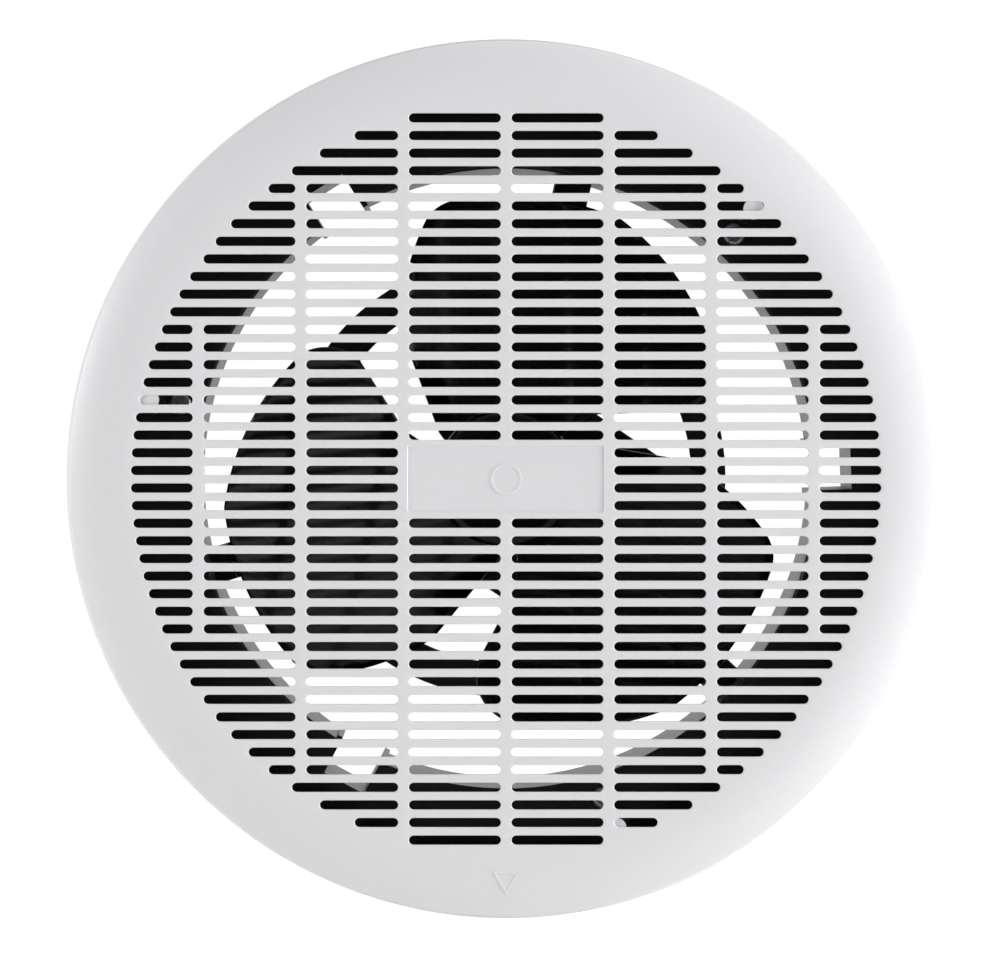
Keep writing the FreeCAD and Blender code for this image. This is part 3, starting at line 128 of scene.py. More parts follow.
def turned_about_axis(points, degrees):
    """Points of the row frame turned anticlockwise, as seen from the room, about the fan's axis."""
    a = math.radians(degrees)
    x, y, z = points[..., 0], points[..., 1], points[..., 2]
    return np.stack([x * math.cos(a) - z * math.sin(a), y, x * math.sin(a) + z * math.cos(a)], -1)


def lathe(profile, segments, centre=(0.0, 0.0)):
    """A surface turned about an axis parallel to Y, closed round t = 0 to 2 pi.

    Each profile point (r, z) becomes the ring (cx + r cos t, cy + r sin t, z).
    """
    profile = np.asarray(profile, float)
    t = np.linspace(0, 2 * np.pi, segments, endpoint=False)
    x = centre[0] + profile[:, :1] * np.cos(t)
    y = centre[1] + profile[:, :1] * np.sin(t)
    points = stood_up(x, y, profile[:, 1:2] + 0 * t)
    return points.reshape(-1, 3), grid_faces(len(profile), segments, close_columns=True)


def arc(centre, radius, start, end, count):
    """count points of a circle from start to end, in degrees."""
    t = np.radians(np.linspace(start, end, count))
    return np.stack([centre[0] + radius * np.cos(t), centre[1] + radius * np.sin(t)], -1)


# %% [markdown]
# ## Colours and nodes
#
# A colour picked from a chart is written as an sRGB hex value, but light is added up in linear
# numbers, so one function converts it.  One more function adds a shader node with its settings
# and its links, which keeps each material short enough to read as a recipe.

# %% Colour and node helpers


def colour(text):
    """sRGB hex to linear: c / 12.92 below 0.04045, else ((c + 0.055) / 1.055) ** 2.4."""
    c = np.array([int(text[k:k + 2], 16) / 255 for k in (1, 3, 5)])
    linear = np.where(c <= 0.04045, c / 12.92, ((c + 0.055) / 1.055) ** 2.4)
    return (*linear.tolist(), 1.0)


def add(tree, kind, settings=None, **inputs):
    """Adds a node; settings are its properties, inputs are values or output sockets to link."""
    node = tree.nodes.new(kind)
    for key, value in (settings or {}).items():
        setattr(node, key, value)
    for key, value in inputs.items():
        socket = node.inputs[int(key[1:])] if key[0] == "_" else node.inputs[key.replace("_", " ")]
        if isinstance(value, bpy.types.NodeSocket):
            tree.links.new(value, socket)
        else:
            socket.default_value = value
    return node


def new_material(name, base, roughness, ior=None, metallic=0.0, **sockets):
    """A Principled material whose constants sit on the shader's own sockets."""
    material = bpy.data.materials.new(name)
    material.use_nodes = True
    tree = material.node_tree
    shader = tree.nodes["Principled BSDF"]
    shader.inputs["Base Color"].default_value = colour(base)
    shader.inputs["Roughness"].default_value = roughness
    shader.inputs["Metallic"].default_value = metallic
    if ior:
        shader.inputs["IOR"].default_value = ior
    for key, value in sockets.items():
        shader.inputs[key.replace("_", " ")].default_value = value
    material.diffuse_color = colour(base)
    return material, tree, shader


def vary(tree, shader, coordinates, size_mm, base, other, rough, depth_mm, detail=4.0):
    """Noise of a real size that mixes two colours, moves the roughness and raises the surface."""
    noise = add(tree, "ShaderNodeTexNoise", Vector=coordinates, Scale=1 / (size_mm * MM),
                Detail=detail, Roughness=0.6)
    mix = add(tree, "ShaderNodeMix", {"data_type": "RGBA"}, Factor=noise.outputs["Fac"])
    mix.inputs[6].default_value = colour(base)
    mix.inputs[7].default_value = colour(other)
    spread = add(tree, "ShaderNodeMapRange", Value=noise.outputs["Fac"], From_Min=0.3, From_Max=0.7,
                 To_Min=rough[0], To_Max=rough[1])
    bump = add(tree, "ShaderNodeBump", Height=noise.outputs["Fac"], Strength=1.0,
               Distance=depth_mm * MM)
    tree.links.new(mix.outputs[2], shader.inputs["Base Color"])
    tree.links.new(spread.outputs["Result"], shader.inputs["Roughness"])
    tree.links.new(bump.outputs["Normal"], shader.inputs["Normal"])
    return noise, bump


# %% [markdown]
# ## Moulded plastics
#
# The grille is satin white ABS and the body is glossy black ABS, both injection moulded.  ABS has
# an IOR of about 1.53.  A polished steel mould leaves a skin with a faint orange peel a
# millimetre or two across; the real height is a few microns, and it is drawn a little deeper so
# that it shows.

# %% Plastic materials


def plastic(name, base, other, rough, peel_mm, depth_mm, **sockets):
    """Moulded plastic: orange peel of one size, whose same noise weakly mottles the colour."""
    material, tree, shader = new_material(name, base, rough[0], ior=1.53, **sockets)
    place = add(tree, "ShaderNodeTexCoord").outputs["Object"]
    vary(tree, shader, place, peel_mm, base, other, rough, depth_mm)
    return material


WHITE_ABS = plastic("satin_white_abs", "#e6e6e8", "#e2e2e5", (0.34, 0.42), 1.6, 0.0025)
BLACK_ABS = plastic("glossy_black_abs", "#050506", "#08080a", (0.1, 0.16), 2.2, 0.004)
HOUSING_ABS = plastic("moulded_black_abs", "#060607", "#0a0a0c", (0.3, 0.4), 2.2, 0.004)
FRAME_ABS = plastic("satin_black_abs", "#0c0c0d", "#121213", (0.3, 0.4), 1.2, 0.006)
TOGGLE_NYLON = plastic("glass_filled_black_nylon", "#141415", "#1e1e20", (0.42, 0.58), 0.6, 0.012)
NATURAL_NYLON = plastic("natural_nylon", "#e4dcc4", "#ddd3b6", (0.4, 0.5), 1.0, 0.004,
                        Subsurface_Weight=0.15, Subsurface_Scale=0.002)
GREY_NYLON = plastic("grey_nylon", "#6d7073", "#66696c", (0.4, 0.5), 0.9, 0.005)
WHITE_PVC = plastic("white_pvc_sheath", "#dedcd4", "#d6d3c8", (0.38, 0.46), 1.4, 0.006)
RUBBER = plastic("black_rubber", "#191919", "#232322", (0.65, 0.8), 0.5, 0.01)
print("plastics ready:", len(bpy.data.materials))

# %% [markdown]
# ## Metals
#
# Metals keep the default IOR and get their look from colour and roughness.  Zinc plate is bright
# with a fine grain, cast zinc is duller and pitted, a ground shaft has very fine rings round it,
# and the motor's iron core is a stack of half-millimetre sheets whose cut edges show as lines
# across the stack.

# %% Metal materials


def metal(name, base, other, rough, grain_mm, depth_mm):
    material, tree, shader = new_material(name, base, rough[0], metallic=1.0)
    place = add(tree, "ShaderNodeTexCoord").outputs["Object"]
    vary(tree, shader, place, grain_mm, base, other, rough, depth_mm)
    return material


def layered_metal(name, base, other, rough, layer_mm, depth_mm):
    """Metal with grooves square to the fan's axis, one each layer_mm, from a sine of y."""
    material, tree, shader = new_material(name, base, rough[0], metallic=1.0)
    place = add(tree, "ShaderNodeTexCoord").outputs["Object"]
    noise, bump = vary(tree, shader, place, 1.5, base, other, rough, 0.01)
    along = add(tree, "ShaderNodeSeparateXYZ", Vector=place).outputs["Y"]
    phase = add(tree, "ShaderNodeMath", {"operation": "MULTIPLY"}, _0=along,
                _1=2 * math.pi / (layer_mm * MM))
    wave = add(tree, "ShaderNodeMath", {"operation": "SINE"}, _0=phase.outputs[0])
    rings = add(tree, "ShaderNodeBump", Height=wave.outputs[0], Strength=1.0,
                Distance=depth_mm * MM, Normal=bump.outputs["Normal"])
    tree.links.new(rings.outputs["Normal"], shader.inputs["Normal"])
    return material


ZINC_PLATE = metal("bright_zinc_plate", "#c3c6c9", "#a9adb2", (0.22, 0.36), 0.5, 0.004)
SPRING_STEEL = metal("oiled_spring_steel", "#3d3e42", "#2c2d30", (0.3, 0.42), 0.4, 0.004)
CAST_ZINC = metal("die_cast_zinc", "#9a9ca0", "#84878b", (0.42, 0.6), 0.9, 0.03)
CAST_ALUMINIUM = metal("cast_aluminium", "#b9bbbe", "#a5a7ab", (0.38, 0.55), 0.8, 0.02)
BRONZE = metal("sintered_bronze", "#8d6a3c", "#75552c", (0.45, 0.6), 0.25, 0.02)
COPPER = metal("bare_copper", "#b4653f", "#98502f", (0.25, 0.4), 0.6, 0.006)
BRASS = metal("turned_brass", "#b99a55", "#a78745", (0.24, 0.34), 0.5, 0.004)
LAMINATIONS = layered_metal("stacked_lamination_steel", "#5b5c60", "#3f4044", (0.38, 0.55),
                            0.5, 0.05)
GROUND_STEEL = layered_metal("ground_shaft_steel", "#b5b6b9", "#a4a5a8", (0.2, 0.3), 0.15, 0.002)
print("metals ready:", len(bpy.data.materials))

# %% [markdown]
# ## Felt and winding wire
#
# Oil felt is matted wool: a coarse, soft noise and no gloss.  The coil is thin copper wire under
# red-brown enamel; its turns are modelled further down, so the material only needs the enamel.

# %% Soft and wound materials
felt, felt_tree, felt_shader = new_material("oiled_wool_felt", "#a99b7d", 0.95, Sheen_Weight=0.4)
felt_place = add(felt_tree, "ShaderNodeTexCoord").outputs["Object"]
vary(felt_tree, felt_shader, felt_place, 0.35, "#a99b7d", "#7d6f52", (0.85, 1.0), 0.12)
ENAMELLED = metal("enamelled_copper_wire", "#8c3f1d", "#6f2e12", (0.24, 0.34), 0.8, 0.004)
print("all materials:", len(bpy.data.materials))

# %% [markdown]
# ## Dressing the engineering parts
#
# Most internal parts already have the right shape, so each only needs its material.  A table from
# part name to material does it, and parts that come in threes share an entry by their name
# without the number.

# %% Materials for the parts that keep their shape
FINISHES = {
    "housing": HOUSING_ABS, "terminal_box": HOUSING_ABS, "terminal_box_lid": HOUSING_ABS,
    "motor_frame": FRAME_ABS, "lead_clips": FRAME_ABS,
    "frame_screws": ZINC_PLATE, "mount_screws": ZINC_PLATE,
    "mount_nuts": ZINC_PLATE, "motor_bolts": ZINC_PLATE, "motor_nuts": ZINC_PLATE,
    "lid_screws": ZINC_PLATE, "terminal_screws": ZINC_PLATE, "impeller_nut": ZINC_PLATE,
    "impeller_washer": ZINC_PLATE, "clamp_screw": ZINC_PLATE, "retaining_clip": SPRING_STEEL,
    "isolator_grommets": RUBBER, "lead_grommet": RUBBER, "front_bracket": CAST_ZINC,
    "rear_bracket": CAST_ZINC, "front_bearing": BRONZE, "rear_bearing": BRONZE,
    "oil_felts": felt, "stator_core": LAMINATIONS, "rotor_core": LAMINATIONS,
    "shading_rings": COPPER, "rotor_cage": CAST_ALUMINIUM, "coil_bobbin": NATURAL_NYLON,
    "coil_winding": ENAMELLED, "thrust_washers": NATURAL_NYLON, "terminal_block": NATURAL_NYLON,
    "motor_lead": WHITE_PVC, "cable_gland": GREY_NYLON, "gland_nut": GREY_NYLON,
    "shaft": GROUND_STEEL, "drive_pin": GROUND_STEEL, "clamp_bush": BRASS, "toggle": TOGGLE_NYLON,
    "impeller": BLACK_ABS, "grille": WHITE_ABS,
}


def dress(node, material):
    """Puts one material on every slot of a part's object."""
    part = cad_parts[node]
    if not part.material_slots:
        part.data.materials.append(material)
    for material_slot in part.material_slots:
        material_slot.material = material


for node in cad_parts:
    dress(node, FINISHES[node if node in FINISHES else node.rsplit("_", 1)[0]])
print("dressed", len(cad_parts), "parts")

# %% [markdown]
# ## The grille's slots
#
# The grille is one white moulding: a flat disc with 42 rows of long slots, crossed by seven
# upright bars, inside a shallow curved rim.  Cutting 260 slots with booleans would be slow and
# leave poor edges.  Each slot is a stadium, two half circles joined by straight lines, so the
# whole field can be written as arrays: one array of stadium loops, repeated at several depths to
# give every slot a rounded front edge.  That soft edge is what catches the light as a thin bright
# halo on the real part.

# %% Slot plan, in millimetres as seen from the room
SLOT_PITCH, SLOT_WIDTH, SLOT_ROWS = 7.0, 3.7, 42
BAR_PITCH, BAR_WIDTH, SHORTEST_SLOT = 40.8, 4.2, 9.5
FIELD_RADIUS, FLAT_RADIUS, GRILLE_RADIUS = 149.2, 150.0, 175.0
FRONT, PLATE = 22.0, 2.5
BADGE_WIDTH, BADGE_HEIGHT, BADGE_RECESS = 78.4, 26.7, 0.6


def row_spans(height):
    """(left, right) of each slot to the right of the middle bar, in the row at this height.

    The row ends on the field's circle, at half its chord sqrt(R^2 - h^2), and a bar is left out
    where the slot beyond it would be too short.
    """
    half_chord = math.sqrt(FIELD_RADIUS ** 2 - height ** 2)
    spans, start = [], BAR_WIDTH / 2
    for column in range(1, 5):
        bar_left = column * BAR_PITCH - BAR_WIDTH / 2
        bar_right = bar_left + BAR_WIDTH
        if half_chord < bar_right + SHORTEST_SLOT:
            end = half_chord if half_chord > bar_right else min(half_chord, bar_left)
            return spans + [(start, end, height)]
        spans.append((start, bar_left, height))
        start = bar_right
    return spans


slots = []
for row in range(SLOT_ROWS):
    height = (row - (SLOT_ROWS - 1) / 2) * SLOT_PITCH
    spans = row_spans(height)
    slots += spans[1:] if abs(height) < BADGE_HEIGHT / 2 else spans
slots = np.array(slots)
slots = np.concatenate([slots, slots * [-1, -1, 1]])
slots[:, :2] = np.sort(slots[:, :2], axis=1)
print("slots:", len(slots), "longest", (slots[:, 1] - slots[:, 0]).max(), "mm")

# %% Loops and flat faces


def stadiums(spans, radius, grow, half=8):
    """Loops (slot, point, 2) round each slot; grow widens them evenly.

    Each end is a half circle of radius + grow, of half points, about the slot's end centre.
    """
    t = np.radians(np.r_[np.linspace(-90, 90, half), np.linspace(90, 270, half)])
    ends = np.where(np.arange(2 * half) < half, spans[:, 1:2] - radius, spans[:, :1] + radius)
    x = ends + (radius + grow) * np.cos(t)
    y = spans[:, 2:3] + (radius + grow) * np.sin(t)
    return np.stack([x, y], -1)


def rounded_box(width, height, radius, count=6):
    """A loop round a box of width x height about the origin, with rounded corners."""
    corners = [(1, 1, 0), (-1, 1, 90), (-1, -1, 180), (1, -1, 270)]
    return np.concatenate([arc((sx * (width / 2 - radius), sy * (height / 2 - radius)), radius,
                               start, start + 90, count) for sx, sy, start in corners])


def in_loop(points, loop):
    """True for points inside a polygon.

    A ray drawn to the right from such a point crosses the polygon's edges an odd number of times.
    """
    x, y = points[:, :1], points[:, 1:2]
    a, b = loop, np.roll(loop, -1, 0)
    spans_y = (a[:, 1] > y) != (b[:, 1] > y)
    rise = np.where(b[:, 1] == a[:, 1], 1.0, b[:, 1] - a[:, 1])
    crossing = a[:, 0] + (y - a[:, 1]) * (b[:, 0] - a[:, 0]) / rise
    return (spans_y & (x < crossing)).sum(1) % 2 == 1


def fill(loops, keep, extra=None):
    """Triangles (indices into the loops' points, one loop after the other) that join the loops.

    keep(centres) says which triangles of the Delaunay triangulation are material.
    """
    points = np.concatenate(loops + ([extra] if extra is not None else []))
    edges, at = [], 0
    for loop in loops:
        k = np.arange(len(loop))
        edges.append(np.stack([at + k, at + (k + 1) % len(loop)], -1))
        at += len(loop)
    found = delaunay_2d_cdt([Vector(p) for p in points.tolist()],
                            np.concatenate(edges).tolist(), [], 0, 1e-7)
    source = np.array([match[0] for match in found[3]])
    triangles = source[np.array(found[2])]
    return triangles[keep(points[triangles].mean(1))]


def outside_slots(centres, grow):
    """False for points inside a slot widened by grow: nearer than its radius to its mid line."""
    radius = SLOT_WIDTH / 2
    near = np.clip(centres[:, :1], slots[:, 0] + radius, slots[:, 1] - radius)
    away = np.hypot(centres[:, :1] - near, centres[:, 1:2] - slots[:, 2])
    return (away > 0.97 * (radius + grow)).all(1)


# %% [markdown]
# ## Putting the grille together
#
# The front face, the slot walls, the back face and the rim all share their edge points, so the
# result is one closed skin like the moulding.  The rim is a profile turned about the axis: an arc
# of 60 mm radius, a 2.5 mm rounded corner and a straight skirt.  A shallow name-plate recess sits
# in the middle with a plain roundel, and three posts at the back push into the housing's sockets.

# %% Grille
EDGE = 0.5            # radius of the rounded front edge of a slot
IN_SLOT, IN_BADGE, IN_ROUNDEL = 16, 24, 48     # points in one loop of each
RIM_CURVE, RIM_CORNER, RIM_GAP = 60.0, 2.5, 0.5
AROUND = 240          # points round the rim
SEAM = 151.3          # the flat faces are filled out to here, just past the last slot's corner

lean = np.linspace(0, np.pi / 2, 4)
slot_rings = [np.c_[stadiums(slots, SLOT_WIDTH / 2, EDGE * (1 - math.sin(a))).reshape(-1, 2),
                    np.full(len(slots) * IN_SLOT, FRONT - EDGE * (1 - math.cos(a)))] for a in lean]
slot_rings.append(np.c_[slot_rings[-1][:, :2], np.full(len(slots) * IN_SLOT, FRONT - PLATE)])

corner_x = GRILLE_RADIUS - RIM_CORNER
reach = RIM_CURVE - RIM_CORNER
corner_z = FRONT - RIM_CURVE + math.sqrt(reach ** 2 - (corner_x - FLAT_RADIUS) ** 2)
turn = math.degrees(math.atan2(corner_z - FRONT + RIM_CURVE, corner_x - FLAT_RADIUS))
inner = GRILLE_RADIUS - PLATE
inner_low = FRONT - PLATE - RIM_CURVE + math.sqrt(RIM_CURVE ** 2 - (inner - FLAT_RADIUS) ** 2)
inner_turn = math.degrees(math.atan2(inner_low - FRONT + PLATE + RIM_CURVE, inner - FLAT_RADIUS))
level = 90 - math.degrees(math.asin((SEAM - FLAT_RADIUS) / RIM_CURVE))
rim = np.concatenate([
    arc((FLAT_RADIUS, FRONT - RIM_CURVE), RIM_CURVE, level, turn, 14),
    arc((corner_x, corner_z), RIM_CORNER, turn, 0, 7)[1:],
    [(GRILLE_RADIUS, RIM_GAP + 0.4), (GRILLE_RADIUS - 0.4, RIM_GAP), (inner + 0.3, RIM_GAP),
     (inner, RIM_GAP + 0.3)],
    arc((FLAT_RADIUS, FRONT - PLATE - RIM_CURVE), RIM_CURVE, inner_turn, level, 12),
])
t = np.linspace(0, 2 * np.pi, AROUND, endpoint=False)
rim_points = np.stack([rim[:, :1] * np.cos(t), rim[:, :1] * np.sin(t), rim[:, 1:] + 0 * t], -1)

badge_steps = [(0.25, 0.0), (0.07, 0.07), (0.0, 0.25), (-0.05, BADGE_RECESS - 0.12),
               (-0.2, BADGE_RECESS)]
badge_rings = [np.c_[rounded_box(BADGE_WIDTH + 2 * g, BADGE_HEIGHT + 2 * g, 1.2 + g),
                     np.full(IN_BADGE, FRONT - d)] for g, d in badge_steps]
FLOOR = FRONT - BADGE_RECESS
roundel = np.array([(6.55, 0.0), (6.4, 0.06), (6.3, 0.26), (6.1, 0.32), (5.5, 0.32), (5.3, 0.26),
                    (5.2, 0.12), (5.0, 0.1), (3.4, 0.13), (1.6, 0.15)])
s = np.linspace(0, 2 * np.pi, IN_ROUNDEL, endpoint=False)
roundel_points = np.stack([roundel[:, :1] * np.cos(s), roundel[:, :1] * np.sin(s),
                           FLOOR + roundel[:, 1:] + 0 * s], -1)

blocks = [np.concatenate(slot_rings), rim_points.reshape(-1, 3), np.concatenate(badge_rings),
          roundel_points.reshape(-1, 3)]
starts = np.cumsum([0] + [len(b) for b in blocks])
ring_size = len(slots) * IN_SLOT
faces = []
k, n, m = np.meshgrid(np.arange(len(lean)), np.arange(len(slots)), np.arange(IN_SLOT),
                      indexing="ij")
here = k * ring_size + n * IN_SLOT + m
along = k * ring_size + n * IN_SLOT + (m + 1) % IN_SLOT
faces.append(np.stack([here, along, along + ring_size, here + ring_size], -1).reshape(-1, 4))
faces.append(starts[1] + grid_faces(len(rim), AROUND, close_columns=True))
faces.append(starts[2] + grid_faces(len(badge_rings), IN_BADGE, close_columns=True))
faces.append(starts[3] + grid_faces(len(roundel), IN_ROUNDEL, close_columns=True))
faces.append(starts[3] + (len(roundel) - 1) * IN_ROUNDEL + np.arange(IN_ROUNDEL)[None, :])

slot_loops = [loop for loop in stadiums(slots, SLOT_WIDTH / 2, EDGE)]
front = fill(slot_loops + [rim_points[0, :, :2], badge_rings[0][:, :2]],
             lambda c: outside_slots(c, EDGE) & ~in_loop(c, badge_rings[0][:, :2]))
number = np.r_[np.arange(ring_size), starts[1] + np.arange(AROUND),
               starts[2] + np.arange(IN_BADGE)]
faces.append(number[front])
back = fill([loop for loop in stadiums(slots, SLOT_WIDTH / 2, 0.0)] + [rim_points[-1, :, :2]],
            lambda c: outside_slots(c, 0.0))
number = np.r_[len(lean) * ring_size + np.arange(ring_size),
               starts[1] + (len(rim) - 1) * AROUND + np.arange(AROUND)]
faces.append(number[back])
floor_faces = fill([badge_rings[-1][:, :2], roundel_points[0, :, :2]],
                   lambda c: np.hypot(*c.T) > 6.5)
number = np.r_[starts[2] + (len(badge_rings) - 1) * IN_BADGE + np.arange(IN_BADGE),
               starts[3] + np.arange(IN_ROUNDEL)]
faces.append(number[floor_faces])

points = np.concatenate(blocks)
grille = make_piece("grille_moulding", stood_up(*points.T) * MM, faces, outward=True)
even_flats = grille.modifiers.new("even_flats", "WEIGHTED_NORMAL")
even_flats.keep_sharp = True
grille.data.materials.append(WHITE_ABS)
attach(grille, "grille")
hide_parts("grille")

# %% [markdown]
# ## Posts and hanging mark
#
# Three round posts stand on the back of the plate.  Low on the rim a raised outline of a triangle
# points down: it shows which way up the grille hangs.  Its line follows the rim's curve, so each
# point takes its height from the rim's own formula, z = front - R + sqrt(R^2 - (r - flat)^2).

# %% Posts and mark
POST_CIRCLE, POST_RADIUS, IN_POST = 145.5, 3.5, 32
post_profile = [(POST_RADIUS - 0.5, 1.5), (POST_RADIUS, 2.0), (POST_RADIUS + 0.05, 19.0),
                (POST_RADIUS + 0.6, 19.6), (POST_RADIUS + 0.6, 20.4)]
for number, angle in enumerate((47.5, 167.5, 287.5), start=1):
    centre = (POST_CIRCLE * math.cos(math.radians(angle)),
              POST_CIRCLE * math.sin(math.radians(angle)))
    post_points, post_faces = lathe(post_profile, IN_POST, centre)
    caps = np.arange(IN_POST) + [[0], [(len(post_profile) - 1) * IN_POST]]
    post = make_piece(f"grille_post_{number}", post_points * MM, [post_faces, caps], outward=True)
    post.data.materials.append(WHITE_ABS)
    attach(post, "grille")


def rim_height(x, y):
    r = np.maximum(np.hypot(x, y), FLAT_RADIUS)
    return FRONT - RIM_CURVE + np.sqrt(RIM_CURVE ** 2 - (r - FLAT_RADIUS) ** 2)


MARK_WIDTH, MARK_HEIGHT, MARK_LINE, MARK_CENTRE = 10.7, 9.1, 0.9, -160.8
tips = np.array([(-MARK_WIDTH / 2, MARK_HEIGHT / 2), (MARK_WIDTH / 2, MARK_HEIGHT / 2),
                 (0.0, -MARK_HEIGHT / 2)])
side = MARK_WIDTH / 2 * MARK_HEIGHT / (MARK_WIDTH / 2 + math.hypot(MARK_WIDTH / 2, MARK_HEIGHT))
steps = np.linspace(0, 1, 12, endpoint=False)[:, None]
path = np.concatenate([a + (b - a) * steps for a, b in zip(tips, np.roll(tips, -1, 0))])
centre_of_circle = np.array([0.0, MARK_HEIGHT / 2 - side])
rings = []
for inset, lift in ((0.0, -0.2), (0.0, 0.14), (0.12, 0.26), (MARK_LINE - 0.12, 0.26),
                    (MARK_LINE, 0.14), (MARK_LINE, -0.2)):
    shrunk = centre_of_circle + (path - centre_of_circle) * (1 - inset / side)
    x, y = shrunk[:, 0], shrunk[:, 1] + MARK_CENTRE
    rings.append(np.stack([x, y, rim_height(x, y) + lift], -1))
mark_points = np.concatenate(rings)
mark = make_piece("grille_mark", stood_up(*mark_points.T) * MM,
                  [grid_faces(6, len(path), close_rows=True, close_columns=True)], outward=True)
mark.data.materials.append(WHITE_ABS)
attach(mark, "grille")

# %% [markdown]
# ## The impeller
#
# Three wide, swept blades and a hub are moulded in one piece.  A blade is a thin sheet over a
# plan outline: its height is a plane that climbs along the blade, plus an arch towards the room.
# The outline's edge is rounded all the way with a half circle swept along it, because a moulded
# blade has no sharp edge, and those edges are what shines on the black plastic.

# %% Blade outline
TIP, THICK, LEVEL = 114.0, 2.2, -34.0
ROOT_SLOPE, SLOPE_LOSS, SLOPE_RUN = 0.33, 0.06, 115
CAMBER, ARCH_MIDDLE, ARCH_HALF = 8.0, 20, 80


def arc_by_radius(a, b, radius, count, bulge=1):
    """Points of the circle of this radius from a to b; bulge +1 curves out to the left of a-b."""
    a, b = np.array(a, float), np.array(b, float)
    chord = b - a
    half = np.hypot(*chord) / 2
    out = np.array([-chord[1], chord[0]]) / (2 * half)
    centre = (a + b) / 2 - bulge * out * math.sqrt(radius ** 2 - half ** 2)
    start = math.atan2(*(a - centre)[::-1])
    sweep = math.atan2(*(b - centre)[::-1]) - start
    sweep = (sweep + math.pi) % (2 * math.pi) - math.pi
    t = start + sweep * np.linspace(0, 1, count)[:-1]
    return centre + radius * np.stack([np.cos(t), np.sin(t)], -1)


def straight(a, b, count):
    return np.array(a) + (np.array(b) - np.array(a)) * np.linspace(0, 1, count)[:-1, None]


def on_tip(degrees):
    return (TIP * math.cos(math.radians(degrees)), TIP * math.sin(math.radians(degrees)))


outline = np.concatenate([
    straight((-18, 6), (-27, 18), 6), straight((-27, 18), (-42, 58), 15),
    arc_by_radius((-42, 58), (-33, 103), 91, 18), arc_by_radius((-33, 103), on_tip(100), 16, 12),
    arc_by_radius(on_tip(100), on_tip(66), TIP, 26), arc_by_radius(on_tip(66), (84.5, 46), 104, 26),
    arc_by_radius((84.5, 46), (70, 27), 20, 12), straight((70, 27), (37, 25.6), 13),
    straight((37, 25.6), (26, 20), 5), straight((26, 20), (14, 6), 7),
    straight((14, 6), (-18, 6), 11),
])


def blade_height(x, y):
    """Height of a blade's middle surface: z = level + s x + c q (1 - ((x - 20) / 80)^2).

    The slope s falls evenly from 0.33 near the hub to 0.27 at the tip, c is the height of the
    arch square to the sloping plane, and q = sqrt(1 + s^2) turns that into height along the axis.
    """
    slope = ROOT_SLOPE - SLOPE_LOSS * (y - 5) / SLOPE_RUN
    arch = 1 - ((x - ARCH_MIDDLE) / ARCH_HALF) ** 2
    return LEVEL + slope * x + CAMBER * np.sqrt(1 + slope ** 2) * arch


# %% Blades and hub
along = np.roll(outline, -1, 0) - np.roll(outline, 1, 0)
out = np.stack([-along[:, 1], along[:, 0]], -1) / np.hypot(*along.T)[:, None]
core_loop = outline - out * THICK / 2
lift = np.radians(np.linspace(90, -90, 8))
edge_rings = [np.c_[core_loop + out * THICK / 2 * math.cos(a),
                    np.full(len(outline), THICK / 2 * math.sin(a))] for a in lift]
gx, gy = np.meshgrid(np.arange(-45, 95, 3.0), np.arange(6, 116, 3.0))
inside = np.stack([gx.ravel(), gy.ravel()], -1)
clear = np.hypot(*(inside[:, None] - core_loop[None]).transpose(2, 0, 1)).min(1) > 1.6
inside = inside[in_loop(inside, core_loop) & clear]
sheet = fill([core_loop], lambda c: in_loop(c, core_loop), extra=inside)
rings_count, loop_count = len(lift), len(outline)
flat = np.concatenate(edge_rings + [np.c_[inside, np.full(len(inside), h)]
                                    for h in (THICK / 2, -THICK / 2)])
blade = np.c_[flat[:, :2], blade_height(flat[:, 0], flat[:, 1]) + flat[:, 2]]
edge_points = rings_count * loop_count
top = np.r_[np.arange(loop_count), edge_points + np.arange(len(inside))][sheet]
bottom = np.r_[edge_points - loop_count + np.arange(loop_count),
               edge_points + len(inside) + np.arange(len(inside))][sheet]
blade_faces = [grid_faces(rings_count, loop_count, close_columns=True), top, bottom]

hub_profile = np.concatenate([
    [(3.05, -13.8), (3.35, -13.5), (8.7, -13.5), (9.0, -13.2), (9.0, -8.4), (9.4, -8.0)],
    arc((24, -12), 4, 90, 0, 8),
    [(28, -43.7), (27.7, -44), (25.9, -44), (25.6, -43.7), (25.6, -12.4), (23.6, -10.4),
     (11.4, -10.4), (11.4, -15.9), (7.5, -15.9), (7.5, -43.6), (7.1, -44), (3.4, -44),
     (3.05, -43.7)]])
IN_HUB = 96
hub_points, hub_faces = lathe(hub_profile, IN_HUB)
closing = grid_faces(2, IN_HUB, close_columns=True)
last_ring = (len(hub_profile) - 1) * IN_HUB
closing = np.where(closing < IN_HUB, closing + last_ring, closing - IN_HUB)
rib = np.array([(x, y, z) for x in (6.8, 26.5) for y in (-0.9, 0.9) for z in (-38.2, -15.8)])
rib_faces = np.array([[0, 1, 3, 2], [4, 6, 7, 5], [0, 4, 5, 1], [2, 3, 7, 6], [0, 2, 6, 4],
                      [1, 5, 7, 3]])
shells, skins, at = [hub_points], [hub_faces, closing], len(hub_points)
for angle, shell, shell_faces in ([(120 * k, blade, blade_faces) for k in range(3)]
                                  + [(60 * k, rib, [rib_faces]) for k in range(6)]):
    shells.append(turned_about_axis(stood_up(*shell.T), angle))
    skins += [f + at for f in shell_faces]
    at += len(shell)
impeller = make_piece("impeller_moulding", np.concatenate(shells) * MM, skins, outward=True)
impeller.data.materials.append(BLACK_ABS)
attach(impeller, "rotor")
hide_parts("impeller")
low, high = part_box("impeller")
new = np.array(impeller.bound_box)
print("impeller box in mm: CAD", [round(v / MM, 1) for v in (*low, *high)],
      "new", (new.min(0) / MM).round(1), (new.max(0) / MM).round(1))

